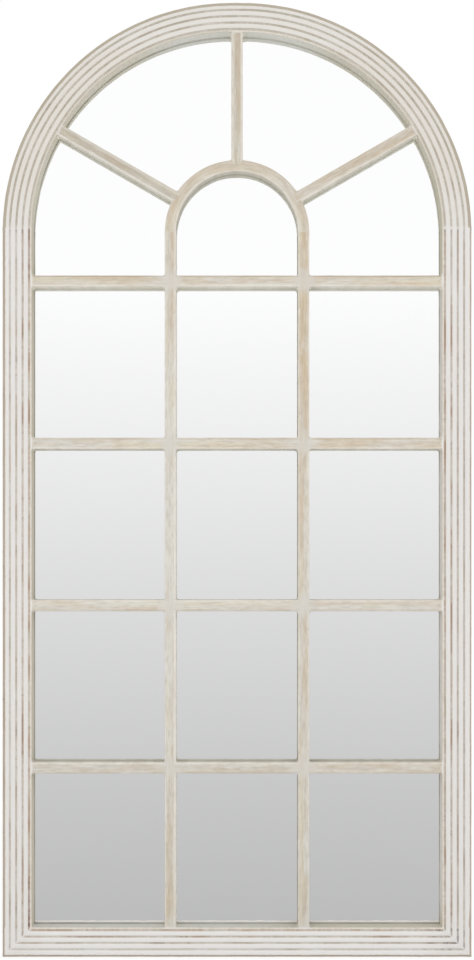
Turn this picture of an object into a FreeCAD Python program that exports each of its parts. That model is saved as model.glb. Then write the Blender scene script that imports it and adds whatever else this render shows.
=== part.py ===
import FreeCAD
import Part
import math
import os

# Full-length mirror: an arched wooden frame with a reeded moulding, and glazing bars laid over
# one sheet of mirror. Millimetres, +Z up. The mirror faces -Y, and the origin is on the bottom
# face, in the middle of the width and of the frame's depth.

# Overall size
WIDTH = 900.0
HEIGHT = 1830.0
DEPTH = 32.0
CROWN_FLAT = 10.0             # half of the short straight run at the top of the arch

# Moulding: sizes run in from the outer edge, and back from the front face
FACE_WIDTH = 56.0             # outer edge to the inner edge of the lip
OUTER_ROUND = 4.0             # worn outer arris
BACK_CHAMFER = 1.0
GROOVE_COUNT = 4
GROOVE_FIRST = FACE_WIDTH * 0.26    # outer edge to the middle of the first groove
GROOVE_PITCH = FACE_WIDTH * 0.218
GROOVE_WIDTH = 4.2
GROOVE_DEPTH = 2.4
LIP_DROP = 1.5                # lip behind the face of the reeds
LIP_EASE = 1.0                # eased edge of the lip
SIGHT_SLOPE = 2.0             # how far the sight edge leans in from lip to glass

# Glass and backing board in their rebates
GLASS_FRONT = DEPTH * 0.625   # front of the frame to the glass
GLASS_THICKNESS = 4.0
GLASS_COVER = 8.0             # width of glass hidden behind the sight edge
GLASS_CLEARANCE = 2.0
PAD_LENGTH = 40.0
PAD_OFFSET = 200.0
BOARD_THICKNESS = 3.0
BOARD_COVER = FACE_WIDTH * 0.295    # width of board that lies on the wood past the glass rebate
BOARD_CLEARANCE = 1.5

# Glazing bars
BAR_WIDTH = 22.0
BAR_STEP = 1.0                # face of the bars behind the lip
SHOULDER_WIDTH = 3.2
SHOULDER_DROP = 4.0
BAR_OFFSET = 128.0            # middle of the mirror to the middle of an upright bar
BAR_TUCK = 1.0                # bars are cut long by this much before they are scribed to the frame
CROSS_COUNT = 4
TOP_PANE_DROP = 93.5          # springing line down to the middle of the top cross bar
FOOT_PANE_TRIM = BAR_WIDTH * 0.25   # the lowest pane is this much shorter than the rest
SPOKE_ANGLES = {"spoke_right": 30.0, "spoke_centre": 90.0, "spoke_left": 150.0}

# Wood joints
SPRING_JOINT_RISE = 8.0       # joint between stile and arch, above the springing line
WOOD_FIT = 0.1                # room round tenons, nails and screws
TENON_END_ROOM = 0.5
JOINT_TENON_LENGTH = 40.0     # loose tenons across the butt joints of the arch
JOINT_TENON_WIDTH = FACE_WIDTH * 0.48
JOINT_TENON_THICKNESS = DEPTH * 0.25
JOINT_TENON_INSET = FACE_WIDTH * 0.44   # outer edge to the middle of the tenon
JOINT_TENON_SETBACK = DEPTH * 0.4       # front of the frame to the middle of the tenon
HOOP_TENON_LENGTH = 24.0
HOOP_TENON_WIDTH = 10.0
HOOP_TENON_THICKNESS = 5.0
V_NAIL_FIRST = FACE_WIDTH * 0.16
V_NAIL_PITCH = FACE_WIDTH * 0.2
V_NAIL_COUNT = 2
V_NAIL_LEG = FACE_WIDTH * 0.1
V_NAIL_SPREAD = 38.0          # angle between a leg and the mitre, in degrees
V_NAIL_SHEET = 0.8
V_NAIL_HEIGHT = DEPTH * 0.3
TENON_LENGTH = FACE_WIDTH * 0.2     # lip to the tip of a bar's tenon
TENON_ROOT = 6.0              # lip back to where the tenon joins the bar's body
TENON_WIDTH = 10.0
TENON_THICKNESS = 6.0

# Back of the mirror
POINT_WIDTH = 7.0             # flat steel points that hold the board in
POINT_SHEET = 0.8
POINT_DRIVE = FACE_WIDTH * 0.14     # depth that a point is driven into the wood
POINT_TAPER = 4.0
POINT_LAP = 9.0               # side of the board's rebate to the blunt end
STILE_POINT_COUNT = 4
RAIL_POINT_COUNT = 3
ARCH_POINT_COUNT = 3
HANGER_EDGE = 15.5            # outer edge to the middle of a hanger
HANGER_DROP = 45.0            # springing line down to the ring's pivot
STRAP_WIDTH = 14.0
STRAP_SHEET = 1.5
STRAP_TAIL = 8.0              # last screw to the rounded end
RING_WIRE_RADIUS = 1.75
RING_CLEARANCE = 0.5
RING_HALF_WIDTH = 12.0        # middle of the ring to the middle of the wire
RING_SIDE = 9.0               # pivot to the start of the bow
RING_CORNER = 3.5
RING_CORNER_STEPS = 3
RING_BOW_STEPS = 10
WIRE_SIDES = 8
HANGER_SCREW_RADIUS = 1.75
HANGER_SCREW_LENGTH = 16.0
HANGER_SCREW_HEAD_RADIUS = 3.5
HANGER_SCREW_HEAD_HEIGHT = 2.2
HANGER_SCREW_GAP = 2.0        # hanging ring to the first screw head
HANGER_SCREW_PITCH = 20.0
BUMPER_RADIUS = 7.0
BUMPER_HEIGHT = 4.0
BUMPER_TAPER = 1.2
BUMPER_RISE = 70.0

# Places that follow from the sizes above
FRONT = -DEPTH / 2
BACK = DEPTH / 2
HALF_WIDTH = WIDTH / 2
ARCH_RADIUS = HALF_WIDTH - CROWN_FLAT
SPRING = HEIGHT - ARCH_RADIUS
SPRING_JOINT = SPRING + SPRING_JOINT_RISE
SIGHT_WIDTH = FACE_WIDTH + SIGHT_SLOPE
GLASS_BACK = GLASS_FRONT + GLASS_THICKNESS
GLASS_EDGE = SIGHT_WIDTH - GLASS_COVER
GLASS_REBATE = GLASS_EDGE - GLASS_CLEARANCE
BOARD_EDGE = GLASS_REBATE - BOARD_COVER
BOARD_REBATE = BOARD_EDGE - BOARD_CLEARANCE
BOARD_BACK = GLASS_BACK + BOARD_THICKNESS
BAR_FRONT = LIP_DROP + BAR_STEP
LAP_DEPTH = (BAR_FRONT + GLASS_FRONT) / 2
CROSS_BASE = FACE_WIDTH - FOOT_PANE_TRIM
CROSS_PITCH = (SPRING - TOP_PANE_DROP - CROSS_BASE) / CROSS_COUNT
EYE_INNER = RING_WIRE_RADIUS + RING_CLEARANCE
EYE_OUTER = EYE_INNER + STRAP_SHEET
RING_REACH = RING_SIDE + RING_HALF_WIDTH + RING_WIRE_RADIUS
PIVOT_HEIGHT = SPRING - HANGER_DROP

ORIGIN = FreeCAD.Vector(0, 0, 0)
ACROSS = FreeCAD.Vector(1, 0, 0)
BACKWARDS = FreeCAD.Vector(0, 1, 0)
UP = FreeCAD.Vector(0, 0, 1)


def point(x, y, z=0.0):
    return FreeCAD.Vector(x, y, z)


def outline_face(start, steps):
    """Face inside straight runs and arcs: a step is an end point, or a middle and an end point."""
    edges = []
    here = start
    for step in steps:
        if isinstance(step, tuple):
            edges.append(Part.Arc(here, step[0], step[1]).toShape())
            here = step[1]
        else:
            edges.append(Part.LineSegment(here, step).toShape())
            here = step
    edges.append(Part.LineSegment(here, start).toShape())
    return Part.Face(Part.Wire(edges))


def moved(shape, x=0.0, y=0.0, z=0.0):
    copy = shape.copy()
    copy.translate(point(x, y, z))
    return copy


def turned(shape, centre, axis, degrees):
    copy = shape.copy()
    copy.rotate(centre, axis, degrees)
    return copy


def mirrored(shape):
    """The same shape on the other side of the middle of the mirror."""
    return shape.mirror(ORIGIN, ACROSS)


def without(shape, tools):
    """The shape less a list of tools, as one clean solid."""
    cut = shape.cut(tools).removeSplitter()
    return max(cut.Solids, key=lambda solid: solid.Volume)


def rod(radius, length, base, direction):
    return Part.makeCylinder(radius, length, base, direction)


def moulding_section():
    """Cross-section of the frame: x runs in from the outer edge and y runs back from the front."""
    worn = OUTER_ROUND * (1 - math.sqrt(0.5))
    steps = [point(worn, worn), point(OUTER_ROUND, 0)]
    for number in range(GROOVE_COUNT):
        middle = GROOVE_FIRST + number * GROOVE_PITCH
        is_last = number == GROOVE_COUNT - 1
        steps += [
            point(middle - GROOVE_WIDTH / 2, 0),
            point(middle, GROOVE_DEPTH),
            point(middle + GROOVE_WIDTH / 2, LIP_DROP if is_last else 0),
        ]
    steps += [
        point(FACE_WIDTH - LIP_EASE, LIP_DROP),
        point(FACE_WIDTH, LIP_DROP + LIP_EASE),
        point(SIGHT_WIDTH, GLASS_FRONT),
        point(GLASS_REBATE, GLASS_FRONT),
        point(GLASS_REBATE, GLASS_BACK),
        point(BOARD_REBATE, GLASS_BACK),
        point(BOARD_REBATE, DEPTH),
        point(BACK_CHAMFER, DEPTH),
        point(0, DEPTH - BACK_CHAMFER),
    ]
    return outline_face(point(0, OUTER_ROUND), steps)


def bar_section():
    """Cross-section of a glazing bar: x runs across the bar and y runs back from the frame's front."""
    half = BAR_WIDTH / 2
    return outline_face(point(-half, GLASS_FRONT), [
        point(half, GLASS_FRONT),
        point(half, BAR_FRONT + SHOULDER_DROP),
        point(half - SHOULDER_WIDTH, BAR_FRONT),
        point(SHOULDER_WIDTH - half, BAR_FRONT),
        point(-half, BAR_FRONT + SHOULDER_DROP),
    ])


def mitre_wedge(above):
    """Prism on one side of the left corner's mitre, for cutting the members that meet there."""
    reach = FACE_WIDTH * 3
    front = FRONT - DEPTH
    corner = point(-HALF_WIDTH, front, 0)
    inner = point(reach - HALF_WIDTH, front, reach)
    third = point(-HALF_WIDTH, front, reach) if above else point(reach - HALF_WIDTH, front, 0)
    return outline_face(corner, [inner, third]).extrude(BACKWARDS * DEPTH * 3)


def left_stile_blank():
    section = moved(moulding_section(), -HALF_WIDTH, FRONT, 0)
    return section.extrude(UP * SPRING_JOINT).cut(mitre_wedge(above=False))


def bottom_rail_blank():
    section = turned(moulding_section(), ORIGIN, BACKWARDS, -90)
    rail = moved(section, -HALF_WIDTH, FRONT, 0).extrude(ACROSS * WIDTH)
    wedge = mitre_wedge(above=True)
    return rail.cut([wedge, mirrored(wedge)])


def left_arch_blank():
    """Quarter of the head: a revolved bend, a short straight run to the crown, and a level foot."""
    centre = point(-CROWN_FLAT, 0, SPRING)
    section = moved(moulding_section(), -HALF_WIDTH, FRONT, SPRING)
    bend = section.revolve(centre, BACKWARDS, 90)
    crown = turned(section, centre, BACKWARDS, 90).extrude(ACROSS * CROWN_FLAT)
    quarter = bend.fuse(crown).removeSplitter()
    below = Part.makeBox(WIDTH, DEPTH * 3, SPRING_JOINT, point(-WIDTH, FRONT - DEPTH, 0))
    return quarter.cut(below)


def arched_sheet(inset, front, thickness):
    """Flat sheet that follows the frame's outline, inset from its outer edge."""
    y = FRONT + front
    side = HALF_WIDTH - inset
    radius = ARCH_RADIUS - inset
    slant = radius * math.sqrt(0.5)
    face = outline_face(point(-side, y, inset), [
        point(-side, y, SPRING),
        (point(-CROWN_FLAT - slant, y, SPRING + slant), point(-CROWN_FLAT, y, SPRING + radius)),
        point(CROWN_FLAT, y, SPRING + radius),
        (point(CROWN_FLAT + slant, y, SPRING + slant), point(side, y, SPRING)),
        point(side, y, inset),
    ])
    return face.extrude(BACKWARDS * thickness)


def reach_to_arch(degrees, inset):
    """Distance from the middle of the springing line to the arch, inset from its outer edge."""
    turn = math.radians(degrees)
    radius = ARCH_RADIUS - inset
    along = CROWN_FLAT * abs(math.cos(turn))
    return along + math.sqrt(radius ** 2 - (CROWN_FLAT * math.sin(turn)) ** 2)


def upright_bar_blank():
    foot = FACE_WIDTH - BAR_TUCK
    section = moved(bar_section(), -BAR_OFFSET, FRONT, foot)
    return section.extrude(UP * (SPRING - foot))


def cross_bar_height(number):
    return CROSS_BASE + number * CROSS_PITCH


def cross_bar_blank(number):
    reach = HALF_WIDTH - FACE_WIDTH + BAR_TUCK
    section = turned(bar_section(), ORIGIN, BACKWARDS, -90)
    return moved(section, -reach, FRONT, cross_bar_height(number)).extrude(ACROSS * reach * 2)


def hoop_blank():
    section = moved(bar_section(), -BAR_OFFSET, FRONT, SPRING)
    return section.revolve(point(0, 0, SPRING), BACKWARDS, 180)


def spoke_blank(degrees):
    reach = reach_to_arch(degrees, FACE_WIDTH - BAR_TUCK)
    section = moved(bar_section(), 0, FRONT, SPRING + BAR_OFFSET)
    spoke = section.extrude(UP * (reach - BAR_OFFSET))
    return turned(spoke, point(0, 0, SPRING), BACKWARDS, 90 - degrees)


def slab(front, back):
    """Block between two depths, larger than the mirror, for picking one half of a lap joint."""
    return Part.makeBox(WIDTH * 2, back - front, HEIGHT * 2, point(-WIDTH, FRONT + front, -HEIGHT / 2))


def hanger_screw(place):
    """Screw with a flat pan head, driven straight in from the back."""
    head = rod(HANGER_SCREW_HEAD_RADIUS, HANGER_SCREW_HEAD_HEIGHT, place, BACKWARDS)
    return head.fuse(rod(HANGER_SCREW_RADIUS, HANGER_SCREW_LENGTH, place, BACKWARDS * -1)).removeSplitter()


def bar_ends():
    """Each bar end that meets the frame: the bar's name, its point on the lip and the way outwards."""
    ends = []
    side = HALF_WIDTH - FACE_WIDTH
    for number in range(1, CROSS_COUNT + 1):
        height = cross_bar_height(number)
        ends.append((f"cross_bar_{number}", point(-side, 0, height), 180.0))
        ends.append((f"cross_bar_{number}", point(side, 0, height), 0.0))
    ends.append(("glazing_bar_left", point(-BAR_OFFSET, 0, FACE_WIDTH), -90.0))
    ends.append(("glazing_bar_right", point(BAR_OFFSET, 0, FACE_WIDTH), -90.0))
    for name, degrees in SPOKE_ANGLES.items():
        reach = reach_to_arch(degrees, FACE_WIDTH)
        turn = math.radians(degrees)
        ends.append((name, point(reach * math.cos(turn), 0, SPRING + reach * math.sin(turn)), degrees))
    return ends


def tenon(lip, degrees, side_room=0.0, end_room=0.0):
    """Stub tenon of a bar that points outwards at an angle, or its mortise when there is room round it."""
    thickness = TENON_THICKNESS + 2 * side_room
    width = TENON_WIDTH + 2 * side_room
    length = TENON_ROOT + TENON_LENGTH + end_room
    block = Part.makeBox(length, thickness, width, point(-TENON_ROOT, -thickness / 2, -width / 2))
    return moved(turned(block, ORIGIN, BACKWARDS, -degrees), lip.x, FRONT + LAP_DEPTH, lip.z)


def block(middle, wide, deep, tall):
    return Part.makeBox(wide, deep, tall, middle - point(wide, deep, tall) * 0.5)


def spring_tenons(side_room=0.0, end_room=0.0):
    """Loose tenons between the stiles and the arch, or their mortises when there is room round them."""
    middle = point(JOINT_TENON_INSET - HALF_WIDTH, FRONT + JOINT_TENON_SETBACK, SPRING_JOINT)
    left = block(middle, JOINT_TENON_WIDTH + 2 * side_room, JOINT_TENON_THICKNESS + 2 * side_room,
                 JOINT_TENON_LENGTH + 2 * end_room)
    return [left, mirrored(left)]


def crown_tenon(side_room=0.0, end_room=0.0):
    """Loose tenon between the two quarters of the arch, or its mortise when there is room round it."""
    middle = point(0, FRONT + JOINT_TENON_SETBACK, HEIGHT - JOINT_TENON_INSET)
    return [block(middle, JOINT_TENON_LENGTH + 2 * end_room, JOINT_TENON_THICKNESS + 2 * side_room,
                  JOINT_TENON_WIDTH + 2 * side_room)]


def hoop_tenons(side_room=0.0, end_room=0.0):
    """Loose tenons between the upright bars and the hoop, or their mortises with room round them."""
    left = block(point(-BAR_OFFSET, FRONT + LAP_DEPTH, SPRING), HOOP_TENON_WIDTH + 2 * side_room,
                 HOOP_TENON_THICKNESS + 2 * side_room, HOOP_TENON_LENGTH + 2 * end_room)
    return [left, mirrored(left)]


def v_nails(room=0.0):
    """Bent steel sheets across the bottom mitres, with their legs in the two members."""
    nails = []
    for number in range(V_NAIL_COUNT):
        inset = V_NAIL_FIRST + number * V_NAIL_PITCH
        half_sheet = V_NAIL_SHEET / 2 + room
        leg = V_NAIL_LEG + room
        spread = math.radians(V_NAIL_SPREAD)
        lean = half_sheet / math.sin(spread)
        tip_out = (leg * math.cos(spread), leg * math.sin(spread))
        thick = (half_sheet * math.sin(spread), half_sheet * math.cos(spread))
        corners = [
            (tip_out[0] + thick[0], tip_out[1] - thick[1]),
            (tip_out[0] - thick[0], tip_out[1] + thick[1]),
            (-lean, 0),
            (tip_out[0] - thick[0], -tip_out[1] - thick[1]),
            (tip_out[0] + thick[0], -tip_out[1] + thick[1]),
        ]
        floor = BACK - V_NAIL_HEIGHT - room
        outline = [point(x, floor, z) for x, z in corners]
        nail = outline_face(point(lean, floor, 0), outline).extrude(BACKWARDS * (BACK - floor))
        nail = turned(nail, ORIGIN, BACKWARDS, -45)
        nail = moved(nail, inset - HALF_WIDTH, 0, inset)
        nails += [nail, mirrored(nail)]
    return nails


def framers_points(room=0.0):
    """Flat steel points, driven into the side of the board's rebate so that they lie on the board."""
    half = POINT_WIDTH / 2 + room
    drive = POINT_DRIVE + room
    front = FRONT + BOARD_BACK - room
    steel = outline_face(point(-drive, front, 0), [
        point(POINT_TAPER - drive, front, -half),
        point(POINT_LAP, front, -half),
        point(POINT_LAP, front, half),
        point(POINT_TAPER - drive, front, half),
    ]).extrude(BACKWARDS * (POINT_SHEET + 2 * room))
    side = HALF_WIDTH - BOARD_REBATE
    radius = ARCH_RADIUS - BOARD_REBATE
    points = []
    for number in range(STILE_POINT_COUNT):
        height = BOARD_REBATE + (number + 0.5) * (SPRING - BOARD_REBATE) / STILE_POINT_COUNT
        left = moved(steel, -side, 0, height)
        points += [left, mirrored(left)]
    for number in range(RAIL_POINT_COUNT):
        x = (number - (RAIL_POINT_COUNT - 1) / 2) * 2 * side / RAIL_POINT_COUNT
        points.append(moved(turned(steel, ORIGIN, BACKWARDS, -90), x, 0, BOARD_REBATE))
    for number in range(ARCH_POINT_COUNT):
        degrees = (number + 0.5) * 90 / ARCH_POINT_COUNT
        left = turned(moved(steel, -radius), ORIGIN, BACKWARDS, degrees)
        left = moved(left, -CROWN_FLAT, 0, SPRING)
        points += [left, mirrored(left)]
    return points


def hanger_screw_places():
    """Screw heads on the two straps, below the reach of the hanging rings."""
    y = BACK + STRAP_SHEET
    first = PIVOT_HEIGHT - RING_REACH - HANGER_SCREW_GAP - HANGER_SCREW_HEAD_RADIUS
    side = HALF_WIDTH - HANGER_EDGE
    return [point(x, y, first - number * HANGER_SCREW_PITCH) for x in (-side, side) for number in range(2)]


def hanger_strap(x):
    """Steel strip on the back of a stile, with a rolled eye at the top and a rounded tail."""
    screws = [place for place in hanger_screw_places() if abs(place.x - x) < STRAP_WIDTH]
    lowest = min(place.z for place in screws)
    half = STRAP_WIDTH / 2
    tail = lowest - STRAP_TAIL
    shoulder = tail + half
    strip = outline_face(point(x - half, BACK, shoulder), [
        (point(x, BACK, tail), point(x + half, BACK, shoulder)),
        point(x + half, BACK, PIVOT_HEIGHT),
        point(x - half, BACK, PIVOT_HEIGHT),
    ]).extrude(BACKWARDS * STRAP_SHEET)
    eye_middle = point(x - half, BACK + EYE_OUTER, PIVOT_HEIGHT)
    eye = rod(EYE_OUTER, STRAP_WIDTH, eye_middle, ACROSS)
    holes = [rod(HANGER_SCREW_RADIUS + WOOD_FIT, STRAP_SHEET, point(x, BACK, place.z), BACKWARDS)
             for place in screws]
    return without(strip.fuse(eye), [rod(EYE_INNER, STRAP_WIDTH, eye_middle, ACROSS)] + holes)


def arc_points(x, z, radius, start, end, steps):
    """Points along an arc, with angles in degrees from +X towards +Z."""
    points = []
    for step in range(steps + 1):
        turn = math.radians(start + (end - start) * step / steps)
        points.append(point(x + radius * math.cos(turn), 0, z + radius * math.sin(turn)))
    return points


def wire_loop(path):
    """Closed loop of wire along straight runs, with mitred bends and a many-sided section."""
    corner_radius = RING_WIRE_RADIUS / math.cos(math.pi / WIRE_SIDES)
    loops = []
    for number, here in enumerate(path):
        before = (here - path[number - 1]).normalize()
        after = (path[(number + 1) % len(path)] - here).normalize()
        outward = (before + after).normalize().cross(BACKWARDS)
        stretch = 1 / outward.dot(after.cross(BACKWARDS))
        loop = []
        for side in range(WIRE_SIDES):
            turn = (side + 0.5) * 2 * math.pi / WIRE_SIDES
            in_plane = outward * (corner_radius * math.cos(turn) * stretch)
            loop.append(here + in_plane + BACKWARDS * (corner_radius * math.sin(turn)))
        loops.append(loop)
    faces = []
    for number, loop in enumerate(loops):
        following = loops[(number + 1) % len(loops)]
        for side in range(WIRE_SIDES):
            near = (side + 1) % WIRE_SIDES
            corners = [loop[side], loop[near], following[near], following[side]]
            faces.append(Part.Face(Part.makePolygon(corners + corners[:1])))
    return Part.Solid(Part.Shell(faces))


def d_ring(x):
    """Closed ring of wire: a straight bar in the eye, two short sides and a half-round bow."""
    bar_end = RING_HALF_WIDTH - RING_CORNER
    path = arc_points(bar_end, -RING_CORNER, RING_CORNER, 0, 90, RING_CORNER_STEPS)
    path += arc_points(-bar_end, -RING_CORNER, RING_CORNER, 90, 180, RING_CORNER_STEPS)
    path += arc_points(0, -RING_SIDE, RING_HALF_WIDTH, 180, 360, RING_BOW_STEPS)
    return moved(wire_loop(path), x, BACK + EYE_OUTER, PIVOT_HEIGHT)


def wall_bumper(x):
    """Rubber button with sloping sides, stuck on the back of a stile."""
    button = Part.makeCone(BUMPER_RADIUS, BUMPER_RADIUS - BUMPER_TAPER, BUMPER_HEIGHT, ORIGIN, BACKWARDS)
    return moved(button, x, BACK, BUMPER_RISE)


def setting_pads():
    base = point(PAD_OFFSET - PAD_LENGTH / 2, FRONT + GLASS_FRONT, GLASS_REBATE)
    pad = Part.makeBox(PAD_LENGTH, GLASS_THICKNESS, GLASS_CLEARANCE, base)
    return [pad, mirrored(pad)]


def frame_blanks():
    stile = left_stile_blank()
    quarter = left_arch_blank()
    return {
        "left_stile": stile,
        "right_stile": mirrored(stile),
        "bottom_rail": bottom_rail_blank(),
        "arch_quarter_left": quarter,
        "arch_quarter_right": mirrored(quarter),
    }


def bar_blanks(frame):
    """All glazing bars, scribed to the frame and to each other, and half-lapped where they cross."""
    upright = upright_bar_blank()
    uprights = {"glazing_bar_left": upright, "glazing_bar_right": mirrored(upright)}
    crosses = {f"cross_bar_{number}": cross_bar_blank(number) for number in range(1, CROSS_COUNT + 1)}
    front_half = slab(0, LAP_DEPTH)
    back_half = slab(LAP_DEPTH, DEPTH)
    over = [bar.common(front_half) for bar in uprights.values()]
    under = [bar.common(back_half) for bar in crosses.values()]
    frame_solids = list(frame.values())
    hoop = hoop_blank()
    bars = {name: without(bar, frame_solids + under) for name, bar in uprights.items()}
    bars.update({name: without(bar, frame_solids + over) for name, bar in crosses.items()})
    bars["inner_arch_hoop"] = hoop.Solids[0]
    for name, degrees in SPOKE_ANGLES.items():
        bars[name] = without(spoke_blank(degrees), frame_solids + [hoop])
    return bars


def build():
    """Every node of the mirror by name, each a list of solids."""
    frame = frame_blanks()
    bars = bar_blanks(frame)
    hoop_mortises = hoop_tenons(WOOD_FIT, TENON_END_ROOM)
    for name in ("glazing_bar_left", "glazing_bar_right", "inner_arch_hoop"):
        bars[name] = without(bars[name], hoop_mortises)
    for name, lip, degrees in bar_ends():
        bars[name] = bars[name].fuse(tenon(lip, degrees)).removeSplitter().Solids[0]

    mortises = [tenon(lip, degrees, WOOD_FIT, TENON_END_ROOM) for _, lip, degrees in bar_ends()]
    mortises += spring_tenons(WOOD_FIT, TENON_END_ROOM) + crown_tenon(WOOD_FIT, TENON_END_ROOM)
    screw_room = HANGER_SCREW_RADIUS + WOOD_FIT
    screw_holes = [rod(screw_room, HANGER_SCREW_LENGTH + WOOD_FIT, place, BACKWARDS * -1)
                   for place in hanger_screw_places()]
    wood_holes = mortises + screw_holes + v_nails(WOOD_FIT) + framers_points(WOOD_FIT)

    nodes = {name: [without(blank, wood_holes)] for name, blank in frame.items()}
    nodes.update({name: [bar] for name, bar in bars.items()})
    nodes["spring_tenons"] = spring_tenons()
    nodes["crown_tenon"] = crown_tenon()
    nodes["hoop_tenons"] = hoop_tenons()
    nodes["corner_v_nails"] = v_nails()
    nodes["mirror_glass"] = [arched_sheet(GLASS_EDGE, GLASS_FRONT, GLASS_THICKNESS)]
    nodes["glass_setting_pads"] = setting_pads()
    nodes["backing_board"] = [arched_sheet(BOARD_EDGE, GLASS_BACK, BOARD_THICKNESS)]
    nodes["framers_points"] = framers_points()
    nodes["hanger_screws"] = [hanger_screw(place) for place in hanger_screw_places()]
    hanger_side = HALF_WIDTH - HANGER_EDGE
    for side, x in (("left", -hanger_side), ("right", hanger_side)):
        nodes[f"hanger_strap_{side}"] = [hanger_strap(x)]
        nodes[f"d_ring_{side}"] = [d_ring(x)]
    nodes["wall_bumpers"] = [wall_bumper(-hanger_side), wall_bumper(hanger_side)]
    return nodes


def write(nodes):
    os.makedirs("parts", exist_ok=True)
    for name, solids in nodes.items():
        shape = solids[0] if len(solids) == 1 else Part.makeCompound(solids)
        shape.exportStep(f"parts/{name}.step")
        volume = sum(solid.Volume for solid in solids)
        print(f"{name}: {len(solids)} solids, {volume / 1000:.1f} cm3, valid {shape.isValid()}")


write(build())
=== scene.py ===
import bmesh
import bpy
import math
import numpy as np
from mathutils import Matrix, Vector
from types import SimpleNamespace


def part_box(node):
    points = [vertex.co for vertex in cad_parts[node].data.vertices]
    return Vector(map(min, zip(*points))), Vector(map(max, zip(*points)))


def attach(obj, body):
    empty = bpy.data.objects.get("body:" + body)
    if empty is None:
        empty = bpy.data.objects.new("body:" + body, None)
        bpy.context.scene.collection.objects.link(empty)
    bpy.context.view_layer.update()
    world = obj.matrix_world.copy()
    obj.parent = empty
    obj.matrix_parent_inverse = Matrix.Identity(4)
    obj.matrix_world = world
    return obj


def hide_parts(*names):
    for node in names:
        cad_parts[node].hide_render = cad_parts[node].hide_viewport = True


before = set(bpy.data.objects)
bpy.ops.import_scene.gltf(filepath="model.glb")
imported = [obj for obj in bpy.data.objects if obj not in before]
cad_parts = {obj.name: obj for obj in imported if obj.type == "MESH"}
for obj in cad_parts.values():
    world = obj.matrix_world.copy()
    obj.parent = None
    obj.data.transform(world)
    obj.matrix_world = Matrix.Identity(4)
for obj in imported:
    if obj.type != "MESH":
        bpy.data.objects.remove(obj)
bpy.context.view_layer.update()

# Tall arched mirror with a reeded, distressed frame and painted glazing bars, in metres.
# The mirror faces -Y and stands on the floor at z = 0, with its middle at x = 0.
MM = 0.001

# Frame
HALF_WIDTH = 450 * MM
FRONT = -16 * MM
DEPTH = 32 * MM
CROWN_FLAT = 10 * MM
SPRING = 1390 * MM
SPRING_JOINT = 1398 * MM
FACE_WIDTH = 56 * MM
SIGHT_WIDTH = 58 * MM
GLASS_FRONT = 20 * MM
GLASS_BACK = 24 * MM
SILVER_DEPTH = 2.6 * MM       # how far behind its face the glass seems to reflect
PANE_RIM = 6 * MM
PAINT_RUN = 2.2 * MM          # paint runs down past the face of the glass, towards the silver
RUN_THICK = 1.5 * MM
RING_STEP = 4 * MM            # spacing of the cuts along each length of wood
MERGE_REACH = 0.01 * MM       # points closer than this are one point

# Moulding, in from the outer edge and back from the front
SIDE_CUT = DEPTH * 0.55
ARRIS_ROUND = 4 * MM
GROOVE_MIDDLES = [(14.56 + 12.208 * number) * MM for number in range(4)]
GROOVE_HALF = 1.9 * MM
GROOVE_DEPTH = 2.4 * MM
GROOVE_CURVE = ((-0.66, 0.72), (-0.28, 0.97), (0.28, 0.97), (0.66, 0.78))     # shares of both
REED_CROWN = 0.3 * MM
REED_ROLL = 0.55 * MM
REED_SHARES = (-0.97, -0.85, -0.6, 0.0, 0.6, 0.85, 0.97, 1.0)                 # from a reed's middle
REED_TOP = (GROOVE_MIDDLES[1] + 6 * MM, 0.7 * MM)
LIP_DROP = 1.5 * MM
LIP_FOOT = ((-0.2 * MM, 0.25 * MM), (0.4 * MM, 0.0))                          # from the last groove
LIP_EDGE = ((-1.1 * MM, 0.0), (-0.5 * MM, 0.2 * MM), (-0.1 * MM, 0.6 * MM))   # rounded on to the slope
SLOPE_SHARES = (0.07, 0.3, 0.55, 0.8, 0.95, 1.0)
GLASS_REBATE = 48 * MM
BOARD_REBATE = 29.98 * MM
BACK_CHAMFER = 1 * MM

# Glazing bars
BAR_HALF = 11 * MM
BAR_FRONT = 2.5 * MM
BAR_FACE_HALF = 8.6 * MM
BAR_CROWN = (
    (0.0, 0.0), (3.0 * MM, 0.05 * MM), (6.0 * MM, 0.2 * MM), (BAR_FACE_HALF - 0.4 * MM, 0.4 * MM),
)
SHOULDER_START = 0.6 * MM
SHOULDER_DROP = 2.4 * MM
BAR_SIDE_SHARES = (0.5, 0.85, 1.0)
BAR_SHARP = 50                # edges that turn by more degrees than this are sharp
BAR_OFFSET = 128 * MM
CROSS_BASE = 50.5 * MM
CROSS_PITCH = 311.5 * MM
CROSS_HEIGHTS = [CROSS_BASE + number * CROSS_PITCH for number in range(1, 5)]
CROSS_SINK = 0.25 * MM        # cross bars and spokes lie this much behind the bars that they meet
SPOKE_ANGLES = {"spoke_right": 30, "spoke_centre": 90, "spoke_left": 150}
EYE_LEVEL = np.array([0, 0, 770 * MM])
END_TUCK = 2 * MM             # a bar is made this much too long at each end, then sawn to the slope
END_SINK = 0.9 * MM           # and its end is let this far into the painted slope
PIN_INSET = 7 * MM            # from the frame to the pin through a bar's end
HOOP_RUB_TAPER = 60 * MM      # the hoop's rubbed edge, darkened with painted shade, starts this far from its ends

# Where the grain of each length of wood starts, so that no two are alike
RAIL_GRAIN = 4
UPRIGHT_GRAIN = 7
CROSS_GRAIN = 10
SPOKE_GRAIN = 20
HOOP_GRAIN = 30

# Dents: depth, size, how far before the glass they end, and how long they take to fade out there
FRAME_DENTS = (0.7 * MM, 24 * MM, 2 * MM, 6 * MM)
BAR_DENTS = (0.5 * MM, 18 * MM, 3 * MM, 5 * MM)
DENT_END = 6 * MM             # how long they take to fade out at each end

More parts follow.
